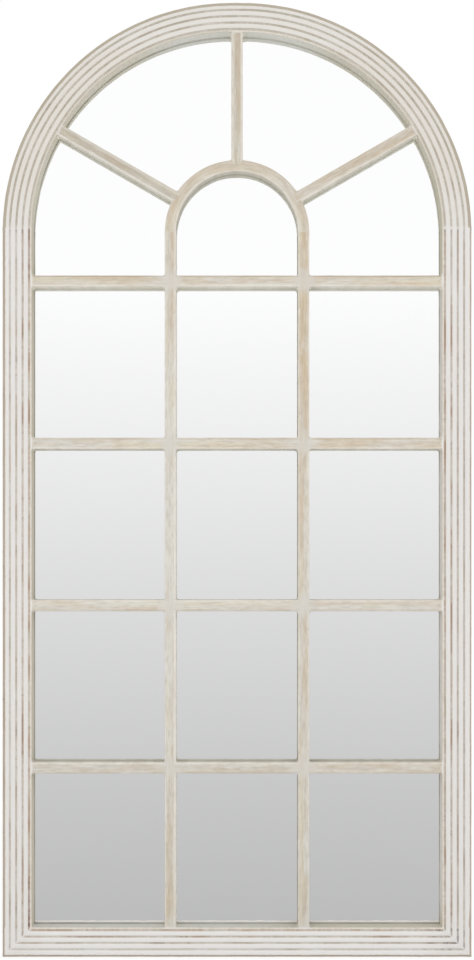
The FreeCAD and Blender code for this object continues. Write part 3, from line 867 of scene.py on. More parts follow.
def between(tree, value, rise, fall):
    """Mask of a band that fades in over the rise and out over the fall, both in millimetres."""
    fade_in = fade(tree, value, rise[0] * MM, rise[1] * MM)
    return times(tree, fade_in, fade(tree, value, fall[0] * MM, fall[1] * MM))


def blend(tree, share, first, second):
    inputs = {0: share, 6: first, 7: second}
    return put(tree, "ShaderNodeMix", inputs, data_type="RGBA").outputs[2]


def blend_value(tree, share, first, second):
    return put(tree, "ShaderNodeMix", {0: share, 2: first, 3: second}, data_type="FLOAT").outputs[0]


def cloud(tree, vector, scale, detail=3.0, roughness=0.55):
    inputs = {"Vector": vector, "Scale": scale, "Detail": detail, "Roughness": roughness}
    return put(tree, "ShaderNodeTexNoise", inputs).outputs["Fac"]


def stretch(tree, vector, factors):
    return put(tree, "ShaderNodeVectorMath", {0: vector, 1: factors}, operation="MULTIPLY").outputs[0]


def new_material(name):
    material = bpy.data.materials.new(name)
    material.use_nodes = True
    tree = material.node_tree
    tree.nodes.clear()
    output = tree.nodes.new("ShaderNodeOutputMaterial")
    shader = tree.nodes.new("ShaderNodeBsdfPrincipled")
    tree.links.new(shader.outputs[0], output.inputs["Surface"])
    return material, tree, shader


def new_group(name, inputs, outputs):
    tree = bpy.data.node_groups.new(name, "ShaderNodeTree")
    for label, kind in inputs:
        tree.interface.new_socket(label, in_out="INPUT", socket_type=kind)
    for label, kind in outputs:
        tree.interface.new_socket(label, in_out="OUTPUT", socket_type=kind)
    return tree, tree.nodes.new("NodeGroupInput"), tree.nodes.new("NodeGroupOutput")


def finish_surface(tree, shader, skin, roughness, raised, strength, depth):
    """Give a material its colour and roughness, and raise its marks by a small depth."""
    bump = put(tree, "ShaderNodeBump", {"Height": raised, "Strength": strength, "Distance": depth})
    tree.links.new(skin, shader.inputs["Base Color"])
    tree.links.new(roughness, shader.inputs["Roughness"])
    tree.links.new(bump.outputs[0], shader.inputs["Normal"])


FLOAT = "NodeSocketFloat"
VECTOR = "NodeSocketVector"


def brush_group():
    """Marks of a stiff brush along the wood, fine and broad."""
    outputs = [("Fine", FLOAT), ("Broad", FLOAT)]
    tree, given, result = new_group("brush_marks", [("Grain", VECTOR)], outputs)
    fine = cloud(tree, stretch(tree, given.outputs["Grain"], (1, 1, 0.035)), 900, 4)
    broad = cloud(tree, stretch(tree, given.outputs["Grain"], (1, 1, 0.12)), 110, 3)
    tree.links.new(fine, result.inputs["Fine"])
    tree.links.new(broad, result.inputs["Broad"])
    return tree


def speck_group():
    """Small spots and chips, as rubbed and flicked paint has."""
    inputs = [("Grain", VECTOR), ("Amount", FLOAT)]
    tree, given, result = new_group("specks", inputs, [("Specks", FLOAT), ("Chips", FLOAT)])
    grain = given.outputs["Grain"]
    dots = cloud(tree, stretch(tree, grain, (1, 1, 0.6)), 420, 2, 0.6)
    where = cloud(tree, grain, 22, 2)
    limit = calc(tree, "SUBTRACT", 0.80, times(tree, given.outputs["Amount"], where))
    spots = calc(tree, "MULTIPLY", calc(tree, "SUBTRACT", dots, limit), 14.0, clamp=True)
    flakes = cloud(tree, stretch(tree, grain, (1, 1, 0.3)), 130, 5, 0.65)
    over = calc(tree, "SUBTRACT", flakes, calc(tree, "ADD", limit, 0.04))
    chips = calc(tree, "MULTIPLY", over, 18.0, clamp=True)
    tree.links.new(spots, result.inputs["Specks"])
    tree.links.new(chips, result.inputs["Chips"])
    return tree


def wood_group():
    """Straight pale wood grain along the length."""
    outputs = [("Color", "NodeSocketColor"), ("Line", FLOAT)]
    tree, given, result = new_group("bare_wood", [("Grain", VECTOR)], outputs)
    lines = cloud(tree, stretch(tree, given.outputs["Grain"], (1, 1, 0.02)), 520, 5, 0.6)
    bands = cloud(tree, stretch(tree, given.outputs["Grain"], (1, 1, 0.05)), 90, 2)
    tone = calc(tree, "ADD", times(tree, lines, 0.6), times(tree, bands, 0.4))
    wood = blend(tree, fade(tree, tone, 0.35, 0.65), colour(196, 168, 132), colour(160, 126, 90))
    tree.links.new(wood, result.inputs["Color"])
    tree.links.new(lines, result.inputs["Line"])
    return tree


def use_group(tree, group, inputs):
    return put(tree, "ShaderNodeGroup", inputs, node_tree=group).outputs


BRUSH = brush_group()
SPECKS = speck_group()
WOOD = wood_group()


def attribute_axes(tree, name):
    vector = put(tree, "ShaderNodeAttribute", attribute_name=name).outputs["Vector"]
    return vector, put(tree, "ShaderNodeSeparateXYZ", {0: vector}).outputs


def object_axes(tree):
    place = put(tree, "ShaderNodeTexCoord").outputs["Object"]
    return put(tree, "ShaderNodeSeparateXYZ", {0: place}).outputs


def joint_mask(tree, gap, grain, plugged):
    """Paint brushed across a joint in the frame, some of it left standing in the grooves."""
    wander = times(tree, calc(tree, "SUBTRACT", cloud(tree, grain, 160, 2), 0.5), 16 * MM)
    wavy_gap = calc(tree, "ABSOLUTE", calc(tree, "ADD", gap, wander))
    brushed = fade(tree, wavy_gap, 7 * MM, 1 * MM, 0.0, 0.35)
    plug = times(tree, plugged, fade(tree, calc(tree, "ABSOLUTE", gap), 3.4 * MM, 1.8 * MM))
    return calc(tree, "MAXIMUM", brushed, plug)


def joint_shadow(tree, gap):
    """Painted shadow in the grooves on one side of a joint."""
    return between(tree, gap, (1.8, 2.6), (14, 5))


def frame_places(tree):
    """Parts of the frame that its paint goes by, each as a mask, and the patches that vary it."""
    at = SimpleNamespace()
    at.grain, (at.across, at.back, _) = attribute_axes(tree, "grain")
    at.sideways, _, at.height = object_axes(tree)
    above_rail = fade(tree, at.height, SIGHT_WIDTH, FACE_WIDTH * 2)
    at.right = times(tree, fade(tree, at.sideways, -40 * MM, 40 * MM), above_rail)
    at.left = fade(tree, at.sideways, 40 * MM, -40 * MM)
    at.low = fade(tree, at.height, 62 * MM, 54 * MM)
    at.arch = fade(tree, at.height, SPRING_JOINT - MM, SPRING_JOINT + MM)
    at.straight = fade(tree, at.arch, 1, 0)
    at.crown = fade(tree, at.height, SPRING + 330 * MM, SPRING + 375 * MM)
    near_spring = fade(tree, at.height, SPRING - 110 * MM, SPRING - 70 * MM)
    at.under_spring = times(tree, at.left, near_spring, at.straight)
    at.below_joint = calc(tree, "SUBTRACT", SPRING_JOINT, at.height)
    at.from_middle = calc(tree, "ABSOLUTE", at.sideways)
    at.above_mitre = calc(tree, "SUBTRACT", calc(tree, "ADD", at.height, at.from_middle), HALF_WIDTH)
    at.long_patch = cloud(tree, stretch(tree, at.grain, (60, 1, 13)), 1.0, 2)
    at.short_patch = cloud(tree, stretch(tree, at.grain, (60, 1, 110)), 1.0, 3, 0.6)
    at.tint_patch = cloud(tree, stretch(tree, at.grain, (40, 1, 17)), 1.0, 1)
    return at


def reed_paint(tree, at, brush):
    """Off-white paint with a painted highlight on the crown of each reed, creamier on the arch, and
    lighter along the rail as painted light.
    """
    lighter = fade(tree, brush["Fine"], 0.3, 0.7)
    paint = blend(tree, lighter, colour(225, 222, 218), colour(232, 230, 227))
    paint = blend(tree, fade(tree, brush["Broad"], 0.42, 0.75, 0.0, 0.4), paint, colour(229, 221, 215))
    # Painted highlight along the crown of each reed.
    ridge_highlight = between(tree, at.back, (0.3, 0.6), (1.1, 0.8))
    paint = blend(tree, times(tree, ridge_highlight, 0.6), paint, colour(244, 240, 237))
    creamier = times(tree, at.arch, fade(tree, at.height, SPRING_JOINT, SPRING + 130 * MM, 0.4, 1.0))
    creamier = times(tree, creamier, fade(tree, at.crown, 0, 1, 0.48, 0.26))
    paint = blend(tree, creamier, paint, colour(219, 211, 198))
    # Painted light: the paint along the rail is made lighter, except near its ends.
    rail_painted_light = times(tree, at.low, fade(tree, at.from_middle, 420 * MM, 340 * MM, 0.0, 0.55))
    return blend(tree, rail_painted_light, paint, colour(240, 238, 237))


def groove_glaze(tree, at):
    """Glaze in the grooves: grey-green in the outer ones, browner further in, thin on the arch."""
    inner = fade(tree, at.across, 10 * MM, 52 * MM)
    warm = fade(tree, at.tint_patch, 0.36, 0.64, 0.0, 0.7)
    warm = calc(tree, "ADD", warm, times(tree, inner, 0.3), clamp=True)
    glaze = blend(tree, warm, colour(192, 189, 176), colour(192, 172, 156))
    less_on_rail = calc(tree, "SUBTRACT", 0.85, times(tree, at.low, 0.4))
    brown = times(tree, inner, fade(tree, at.long_patch, 0.5, 0.66), less_on_rail)
    glaze = blend(tree, brown, glaze, colour(168, 136, 113))
    outer = fade(tree, at.across, 40 * MM, 25 * MM, 0.3, 0.8)
    dark_run = times(tree, fade(tree, at.tint_patch, 0.52, 0.64), outer)
    glaze = blend(tree, dark_run, glaze, colour(158, 147, 131))
    dots = fade(tree, at.short_patch, 0.6, 0.72, 0.0, 0.5)
    glaze = blend(tree, dots, glaze, colour(150, 128, 108))
    return blend(tree, times(tree, at.arch, 0.7), glaze, colour(172, 165, 146))


def groove_dirt(tree, at, glaze):
    """Dirt in the glaze low on the left and under the spring, painted shadow in the grooves beside the
    joints, and darker grooves on the right.
    """
    foot = times(tree, at.left, between(tree, at.height, (54, 62), (200, 110)))
    dirt = calc(tree, "ADD", foot, times(tree, at.under_spring, 0.6), clamp=True)
    dirt = times(tree, dirt, fade(tree, at.across, 44 * MM, 47 * MM))
    glaze = blend(tree, dirt, glaze, colour(132, 98, 80))
    # Painted shadow in the grooves beside the spring joint and the mitres.
    at_mitre = joint_shadow(tree, at.above_mitre)
    joint_shade_mask = calc(tree, "MAXIMUM", joint_shadow(tree, at.below_joint), at_mitre)
    glaze = blend(tree, times(tree, joint_shade_mask, 0.6), glaze, colour(126, 106, 88))
    darker = times(tree, at.right, fade(tree, at.across, 40 * MM, 28 * MM, 0.2, 0.45), at.straight)
    glaze = blend(tree, darker, glaze, colour(158, 143, 128))
    soot = times(tree, at.low, fade(tree, at.sideways, 320 * MM, 430 * MM))
    soot = times(tree, soot, fade(tree, at.short_patch, 0.4, 0.6, 0.0, 0.9))
    return blend(tree, soot, glaze, colour(118, 115, 110))


def groove_fill(tree, at):
    """How much glaze the grooves keep: in patches, more further in, and less at the joints."""
    on_face = between(tree, at.across, (2, 3), (53.4, 52.6))
    deep = calc(tree, "ADD", at.back, times(tree, at.arch, 0.3 * MM))
    deep = times(tree, fade(tree, deep, 0.8 * MM, 1.8 * MM), on_face)
    patch = calc(tree, "ADD", times(tree, at.long_patch, 0.55), times(tree, at.short_patch, 0.45))
    further_in = fade(tree, at.across, 12 * MM, 52 * MM, 0.7, 1.05)
    kept = times(tree, fade(tree, patch, 0.34, 0.62, 0.5, 1.05), further_in)
    arch_change = times(tree, at.arch, fade(tree, at.across, 18 * MM, 36 * MM, 0.16, -0.26))
    plugged = times(tree, at.right, fade(tree, at.across, 18 * MM, 36 * MM, 0.2, 0.95))
    over_joint = joint_mask(tree, at.below_joint, at.grain, plugged)
    over_mitre = joint_mask(tree, at.above_mitre, at.grain, 0.7)
    open_share = calc(tree, "SUBTRACT", 1.0, calc(tree, "MAXIMUM", over_joint, over_mitre))
    return times(tree, deep, kept, calc(tree, "ADD", 1.0, arch_change), open_share)


def sight_slope(tree, at):
    """Sloping sight edge, which has aged differently on each side, on the arch and on the rail."""
    slope = blend(tree, at.right, colour(207, 200, 183), colour(219, 215, 208))
    haunch = blend(tree, at.right, colour(222, 217, 201), colour(214, 209, 193))
    slope = blend(tree, fade(tree, at.height, SPRING - 60 * MM, SPRING + 120 * MM), slope, haunch)
    slope = blend(tree, at.crown, slope, colour(228, 227, 219))
    near_spring = times(tree, fade(tree, at.height, SPRING - 120 * MM, SPRING - 60 * MM),
                        fade(tree, at.height, SPRING + 160 * MM, SPRING + 80 * MM))
    slope = blend(tree, times(tree, at.right, near_spring), slope, colour(202, 197, 178))
    rail = fade(tree, at.height, 60.5 * MM, 58.5 * MM)
    rightwards = fade(tree, at.sideways, -40 * MM, 200 * MM)
    rail_slope = blend(tree, rightwards, colour(204, 203, 196), colour(198, 193, 177))
    slope = blend(tree, rail, slope, rail_slope)
    mottle = cloud(tree, stretch(tree, at.grain, (1, 1, 0.45)), 380, 3, 0.6)
    return blend(tree, fade(tree, mottle, 0.5, 0.68, 0.0, 0.3), slope, colour(170, 166, 156))


def glass_edge_grime_and_shade(tree, at):
    """Grime and painted contact shade where the sight edge meets the glass: darkest under the left
    spring, pale at the crown.
    """
    straight_grime = blend(tree, at.under_spring, colour(146, 143, 131), colour(104, 96, 82))
    arch_grime = blend(tree, at.right, colour(150, 146, 130), colour(186, 182, 166))
    crown_grime = blend(tree, at.right, colour(180, 178, 166), colour(204, 202, 191))
    return blend(tree, at.arch, straight_grime, blend(tree, at.crown, arch_grime, crown_grime))


def sight_edge(tree, at, skin):
    """Lip and sight edge, rubbed back to a cream undercoat."""
    duller = fade(tree, at.short_patch, 0.35, 0.65)
    cream = blend(tree, duller, colour(228, 220, 209), colour(217, 208, 194))
    off_crown = calc(tree, "SUBTRACT", 1.0, times(tree, at.crown, at.right))
    cream = blend(tree, times(tree, at.arch, off_crown), cream, colour(211, 204, 190))
    cream = blend(tree, fade(tree, at.back, 2.2 * MM, 6 * MM), cream, sight_slope(tree, at))
    skin = blend(tree, fade(tree, at.across, 52.8 * MM, 53.6 * MM), skin, cream)
    front = fade(tree, at.back, 3.6 * MM, 2.2 * MM)
    lip_edge = times(tree, fade(tree, at.across, 55.0 * MM, 55.6 * MM), front)
    lip_edge = times(tree, lip_edge, fade(tree, at.long_patch, 0.4, 0.62, 0.1, 0.7))
    skin = blend(tree, lip_edge, skin, colour(238, 233, 225))
    # Grime and painted contact shade on the slope next to the glass.
    on_slope = fade(tree, at.across, 55 * MM, 56 * MM)
    grime = times(tree, fade(tree, at.back, 16.8 * MM, 19.4 * MM), on_slope)
    grime = times(tree, grime, fade(tree, at.long_patch, 0.3, 0.65, 0.4, 0.8))
    return blend(tree, grime, skin, glass_edge_grime_and_shade(tree, at))


def arris_mask(tree, at):
    """Ragged band of the rubbed arris, narrower on the right and the rail and wider on the arch."""
    ragged = times(tree, calc(tree, "SUBTRACT", at.short_patch, 0.5), 2.4 * MM)
    narrower = blend_value(tree, at.arch, times(tree, at.right, 2.0 * MM), -1.2 * MM)
    narrower = calc(tree, "ADD", narrower, times(tree, at.low, 1.2 * MM))
    from_edge = calc(tree, "ADD", calc(tree, "ADD", at.across, ragged), narrower)
    from_front = calc(tree, "ADD", at.back, ragged)
    on_front = fade(tree, from_front, 8 * MM, 5.5 * MM)
    return times(tree, fade(tree, from_edge, 6.5 * MM, 5.3 * MM), on_front)


def arris_wood(tree, at):
    """Wood that shows on the rubbed arris, with darker dents."""
    darker = fade(tree, at.long_patch, 0.3, 0.7)
    wood = blend(tree, darker, colour(182, 168, 153), colour(170, 152, 132))
    wood = blend(tree, fade(tree, at.short_patch, 0.56, 0.72, 0.0, 0.75), wood, colour(128, 108, 88))
    return blend(tree, times(tree, at.arch, 0.6), wood, colour(176, 169, 150))


def frame_paint():
    """Off-white paint, rubbed through at the arris, with a thin brown glaze left in the grooves."""
    material, tree, shader = new_material("frame_paint")
    at = frame_places(tree)
    brush = use_group(tree, BRUSH, {"Grain": at.grain})
    specks = use_group(tree, SPECKS, {"Grain": at.grain, "Amount": 0.13})
    wood = use_group(tree, WOOD, {"Grain": at.grain})
    glaze = groove_dirt(tree, at, groove_glaze(tree, at))
    skin = blend(tree, groove_fill(tree, at), reed_paint(tree, at, brush), glaze)
    skin = sight_edge(tree, at, skin)
    rubbed = arris_mask(tree, at)
    skin = blend(tree, times(tree, rubbed, 0.92), skin, arris_wood(tree, at))

    # Chips, specks, and the unpainted back
    skin = blend(tree, times(tree, specks["Chips"], 0.55), skin, colour(200, 184, 164))
    skin = blend(tree, times(tree, specks["Specks"], 0.6), skin, colour(150, 130, 110))
    brushed_back = calc(tree, "ADD", at.back, times(tree, brush["Broad"], 3 * MM))
    skin = blend(tree, fade(tree, brushed_back, 32.2 * MM, 33.2 * MM), skin, wood["Color"])

    roughness = fade(tree, brush["Fine"], 0.2, 0.8, 0.52, 0.72)
    raised = calc(tree, "SUBTRACT", times(tree, brush["Fine"], 0.6), times(tree, specks["Chips"], 0.8))
    raised = calc(tree, "SUBTRACT", raised, times(tree, rubbed, 0.4))
    finish_surface(tree, shader, skin, roughness, raised, 0.35, 0.3 * MM)
    shader.inputs["Specular IOR Level"].default_value = 0.35
    return material


def bar_places(tree):
    """Parts of a bar that its wash goes by, its wear, and the patches that vary it."""
    at = SimpleNamespace()
    at.grain, (at.across, at.back, _) = attribute_axes(tree, "grain")
    at.side = calc(tree, "ABSOLUTE", at.across)
    _, (at.frame_gap, at.warmth, at.thinness) = attribute_axes(tree, "wear")
    _, (at.far_rub, at.clean, _) = attribute_axes(tree, "edges")
    at.patch = cloud(tree, stretch(tree, at.grain, (60, 1, 9)), 1.0, 3, 0.6)
    at.small_patch = cloud(tree, stretch(tree, at.grain, (130, 1, 45)), 1.0, 3, 0.6)
    return at


def bar_wash(tree, at):
    """Wash: tan where it has warmed, duller where it has worn thin, and streaked by the brush."""
    warm = calc(tree, "ADD", at.warmth, fade(tree, at.patch, 0.36, 0.66, -0.3, 0.35), clamp=True)
    thin = calc(tree, "ADD", at.thinness, fade(tree, at.small_patch, 0.4, 0.7, -0.12, 0.28), clamp=True)
    wash = blend(tree, warm, colour(217, 214, 207), colour(210, 193, 167))
    wash = blend(tree, thin, wash, blend(tree, warm, colour(190, 186, 175), colour(190, 170, 142)))
    streak = cloud(tree, stretch(tree, at.grain, (1, 1, 0.05)), 330, 4, 0.6)
    wash = blend(tree, fade(tree, streak, 0.5, 0.72, 0.0, 0.45), wash, colour(230, 226, 217))
    wash = blend(tree, fade(tree, streak, 0.48, 0.28, 0.0, 0.38), wash, colour(180, 163, 140))
    band = cloud(tree, stretch(tree, at.grain, (1, 1, 0.04)), 130, 2)
    wash = blend(tree, fade(tree, band, 0.5, 0.66, 0.0, 0.45), wash, colour(222, 218, 199))
    wash = blend(tree, fade(tree, band, 0.47, 0.34, 0.0, 0.35), wash, colour(208, 193, 176))
    speckle = cloud(tree, stretch(tree, at.grain, (1, 1, 0.16)), 280, 3, 0.6)
    wash = blend(tree, fade(tree, speckle, 0.5, 0.66, 0.0, 0.36), wash, colour(184, 174, 156))
    wash = blend(tree, fade(tree, speckle, 0.45, 0.3, 0.0, 0.34), wash, colour(234, 231, 224))
    middle = fade(tree, at.side, 5.6 * MM, 3.4 * MM)
    bared = times(tree, at.thinness, middle, fade(tree, at.patch, 0.35, 0.6, 0.05, 0.6))
    wash = blend(tree, bared, wash, colour(182, 163, 137))
    pale_rims = times(tree, at.thinness, fade(tree, at.side, 5.6 * MM, 7.2 * MM), 0.6)
    return blend(tree, pale_rims, wash, colour(224, 220, 210))


def bar_edges(tree, at, skin):
    """Thick paint and a painted highlight on the shoulders, a rubbed edge away from the eye darkened
    with painted shade, and a painted highlight on the near one.
    """
    # Lighter shoulders: thick paint and a painted highlight.
    front = fade(tree, at.back, 5.4 * MM, 4.4 * MM)
    shoulder = times(tree, fade(tree, at.side, 8.0 * MM, 8.8 * MM), front)
    shoulder = times(tree, shoulder, fade(tree, at.patch, 0.25, 0.6, 1.0, 0.5))
    duller = fade(tree, at.small_patch, 0.4, 0.65)
    thick = blend(tree, duller, colour(230, 225, 215), colour(216, 209, 196))
    skin = blend(tree, shoulder, skin, thick)
    edge = between(tree, at.side, (7.3, 8.1), (9.0, 8.3))
    edge = times(tree, edge, fade(tree, at.small_patch, 0.5, 0.72, 0.0, 0.6))
    skin = blend(tree, edge, skin, colour(190, 174, 150))
    # Edge away from the eye: rubbed to tan and darkened as painted shade.
    far_edge = fade(tree, at.across, 5.8 * MM, 8.8 * MM)
    rubbed = times(tree, far_edge, fade(tree, at.patch, 0.3, 0.6, 0.45, 0.9), at.far_rub)
    skin = blend(tree, rubbed, skin, colour(182, 167, 145))
    # Edge towards the eye: painted highlight.
    near_edge = fade(tree, at.across, -6.2 * MM, -7.4 * MM)
    near_highlight = times(tree, near_edge, fade(tree, at.patch, 0.25, 0.6, 0.7, 0.25), at.clean)
    return blend(tree, near_highlight, skin, colour(236, 231, 222))


def bar_sides(tree, at, skin):
    """Sides down to the glass: dull grey painted shade and darker grime on some bars, pale painted light
    and less grime on others, with painted contact shade next to the glass.
    """
    tone = fade(tree, at.small_patch, 0.35, 0.65)
    # Dull grey painted shade and pale painted light for the sides, mixed bar by bar.
    dull = blend(tree, tone, colour(190, 185, 170), colour(178, 172, 157))
    pale = blend(tree, tone, colour(242, 239, 227), colour(232, 228, 213))
    skin = blend(tree, fade(tree, at.back, 4.6 * MM, 6.0 * MM), skin, blend(tree, at.clean, dull, pale))
    # Grime and painted contact shade next to the glass, lighter on the lit bars.
    grime = blend(tree, at.clean, colour(146, 141, 126), colour(206, 203, 190))
    return blend(tree, fade(tree, at.back, 17.0 * MM, 19.4 * MM, 0.0, 0.55), skin, grime)


def bar_end_paint(tree, at, skin):
    """White paint where a bar's end meets the lip, and the filled hole of the pin behind it."""
    ragged = times(tree, calc(tree, "SUBTRACT", at.small_patch, 0.5), 3 * MM)
    sealed = fade(tree, calc(tree, "ADD", at.frame_gap, ragged), 2.2 * MM, 0.9 * MM, 0.0, 0.8)
    sealed = times(tree, sealed, fade(tree, at.back, 9 * MM, 6 * MM))
    skin = blend(tree, sealed, skin, colour(240, 238, 234))
    off_pin = distance(tree, calc(tree, "SUBTRACT", at.frame_gap, PIN_INSET), at.across)
    pin = times(tree, fade(tree, off_pin, 2.2 * MM, 1.3 * MM), fade(tree, at.back, 6 * MM, 5 * MM))
    return blend(tree, times(tree, pin, 0.3), skin, colour(160, 146, 126))


def bar_paint():
    """Thin cream wash over warm wood, with lighter shoulders and smears where bars meet."""
    material, tree, shader = new_material("bar_paint")
    at = bar_places(tree)
    brush = use_group(tree, BRUSH, {"Grain": at.grain})
    specks = use_group(tree, SPECKS, {"Grain": at.grain, "Amount": 0.15})
    wood = use_group(tree, WOOD, {"Grain": at.grain})
    skin = bar_edges(tree, at, bar_wash(tree, at))
    skin = bar_end_paint(tree, at, bar_sides(tree, at, skin))
    smear = crossing_mask(tree, at.grain)
    skin = blend(tree, smear, skin, colour(214, 210, 202))
    skin = blend(tree, times(tree, specks["Chips"], 0.6), skin, wood["Color"])
    skin = blend(tree, times(tree, specks["Specks"], 0.7), skin, colour(138, 118, 96))
    roughness = fade(tree, brush["Fine"], 0.2, 0.8, 0.55, 0.78)
    raised = calc(tree, "ADD", times(tree, brush["Fine"], 0.7), times(tree, smear, 0.4))
    finish_surface(tree, shader, skin, roughness, raised, 0.4, 0.3 * MM)
    shader.inputs["Specular IOR Level"].default_value = 0.3
    return material


def crossing_mask(tree, grain):
    """Greyer paint smeared round each crossing of the upright and cross bars."""
    sideways, depth, height = object_axes(tree)
    wander = times(tree, calc(tree, "SUBTRACT", cloud(tree, grain, 60, 3), 0.5), 40 * MM)
    off_side = calc(tree, "SUBTRACT", calc(tree, "ABSOLUTE", sideways), BAR_OFFSET)
    rows = calc(tree, "SUBTRACT", height, CROSS_BASE + CROSS_PITCH / 2)
    limits = {0: rows, 1: CROSS_PITCH, 2: 0.0}
    row = put(tree, "ShaderNodeMath", limits, operation="WRAP").outputs[0]
    off_row = calc(tree, "SUBTRACT", row, CROSS_PITCH / 2)
    reach = calc(tree, "ADD", distance(tree, off_side, off_row), wander)
    on_front = fade(tree, depth, -8 * MM, -11 * MM)
    return times(tree, fade(tree, reach, 34 * MM, 8 * MM, 0.0, 0.7), on_front)


def silvered_glass():
    """Bright silver behind glass, with faint marks of wiping."""
    material, tree, shader = new_material("silvered_glass")
    place = put(tree, "ShaderNodeTexCoord").outputs["Object"]
    wipe = cloud(tree, stretch(tree, place, (1, 1, 0.5)), 14, 4, 0.6)
    tree.links.new(fade(tree, wipe, 0.3, 0.8, 0.0, 0.02), shader.inputs["Roughness"])
    shader.inputs["Base Color"].default_value = (0.955, 0.962, 0.958, 1.0)
    shader.inputs["Metallic"].default_value = 1.0
    return material


def hardboard():
    """Pressed fibre board, brown with darker flecks."""
    material, tree, shader = new_material("hardboard")
    place = put(tree, "ShaderNodeTexCoord").outputs["Object"]
    fibres = cloud(tree, place, 900, 4, 0.7)
    flecks = cloud(tree, place, 260, 3, 0.6)
    broad = cloud(tree, place, 6, 3)
    board = blend(tree, fade(tree, fibres, 0.35, 0.65), colour(126, 92, 62), colour(150, 114, 80))
    board = blend(tree, fade(tree, flecks, 0.6, 0.72, 0.0, 0.6), board, colour(92, 64, 42))
    board = blend(tree, fade(tree, broad, 0.35, 0.7, 0.0, 0.4), board, colour(138, 108, 78))
    finish_surface(tree, shader, board, fade(tree, fibres, 0.3, 0.7, 0.6, 0.85), fibres, 0.4, 0.2 * MM)
    return material


def zinc(name):
    """Zinc-plated steel with dull patches, fine scratches, and dirt with painted shade in the screw
    slots.
    """
    material, tree, shader = new_material(name)
    place = put(tree, "ShaderNodeTexCoord").outputs["Object"]
    dull = cloud(tree, place, 160, 3, 0.6)
    scratch = cloud(tree, stretch(tree, place, (1, 1, 0.06)), 2600, 2)
    plate = blend(tree, fade(tree, dull, 0.35, 0.7), colour(200, 202, 200), colour(178, 176, 166))
    # Dirt and painted shade in the screw slots.
    dirt = put(tree, "ShaderNodeAttribute", attribute_name="dirt").outputs["Fac"]
    plate = blend(tree, times(tree, dirt, 0.85), plate, colour(62, 57, 50))
    rough = calc(tree, "ADD", fade(tree, dull, 0.3, 0.7, 0.25, 0.42), times(tree, scratch, 0.12))
    finish_surface(tree, shader, plate, rough, scratch, 0.15, 0.05 * MM)
    shader.inputs["Metallic"].default_value = 1.0
    return material


def rubber(name, level):
    """Dark matt rubber with a dusty bloom."""
    material, tree, shader = new_material(name)
    place = put(tree, "ShaderNodeTexCoord").outputs["Object"]
    bloom = cloud(tree, place, 240, 4, 0.6)
    clean, dusty = colour(level, level, level), colour(level + 26, level + 25, level + 23)
    skin = blend(tree, fade(tree, bloom, 0.45, 0.75), clean, dusty)
    finish_surface(tree, shader, skin, fade(tree, bloom, 0.3, 0.7, 0.65, 0.85), bloom, 0.2, 0.1 * MM)
    return material


def tenon_wood():
    """Bare wood of the loose tenons."""
    material, tree, shader = new_material("tenon_wood")
    place = put(tree, "ShaderNodeTexCoord").outputs["Object"]
    wood = use_group(tree, WOOD, {"Grain": place})
    tree.links.new(wood["Color"], shader.inputs["Base Color"])
    tree.links.new(fade(tree, wood["Line"], 0.3, 0.7, 0.6, 0.8), shader.inputs["Roughness"])
    return material


def dress(piece, material):
    piece.data.materials.clear()
    piece.data.materials.append(material)


# Put the pieces together

def place_piece(piece, material, node=None, body="mirror"):
    dress(piece, material)
    if node:
        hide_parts(node)
    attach(piece, body)


FRAME_PAINT = frame_paint()
BAR_PAINT = bar_paint()
for node, side in (("left_stile", -1), ("right_stile", 1)):
    place_piece(stile(f"painted_{node}", side), FRAME_PAINT, node)
place_piece(bottom_rail(), FRAME_PAINT, "bottom_rail")
for node, side in (("arch_quarter_left", -1), ("arch_quarter_right", 1)):
    place_piece(arch_quarter(f"painted_{node}", side), FRAME_PAINT, node)
for node, side in (("glazing_bar_left", -1), ("glazing_bar_right", 1)):
    place_piece(upright_bar(node, side), BAR_PAINT, node)
for number in range(1, 5):
    place_piece(cross_bar(number), BAR_PAINT, f"cross_bar_{number}")
place_piece(hoop(), BAR_PAINT, "inner_arch_hoop")
for node, degrees in SPOKE_ANGLES.items():
    place_piece(spoke(node, degrees), BAR_PAINT, node)

place_piece(corner_fillets(), BAR_PAINT)
place_piece(end_seals(), FRAME_PAINT)
# Pale bead on the glass: a painted reflection.
place_piece(painted_reflection_bead(), FRAME_PAINT)

ZINC = zinc("zinc_steel")
RING_STEEL = zinc("ring_steel")
place_piece(hanger_screws(), ZINC, "hanger_screws")
place_piece(wall_bumpers(), rubber("bumper_rubber", 44), "wall_bumpers")
for hand, side in (("left", -1), ("right", 1)):
    ring = d_ring(f"wire_ring_{hand}", side)
    place_piece(ring, RING_STEEL, f"d_ring_{hand}", f"ring_{hand}")
TENON_WOOD = tenon_wood()
place_piece(mirror_pane(), silvered_glass(), "mirror_glass")
KEPT_NODES = {
    "backing_board": hardboard(),
    "glass_setting_pads": rubber("pad_rubber", 34),
}
for node in ("corner_v_nails", "framers_points", "hanger_strap_left", "hanger_strap_right"):
    KEPT_NODES[node] = ZINC
for node in ("spring_tenons", "crown_tenon", "hoop_tenons"):
    KEPT_NODES[node] = TENON_WOOD
for node, material in KEPT_NODES.items():
    dress(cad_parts[node], material)


# Stage: floor, light and camera

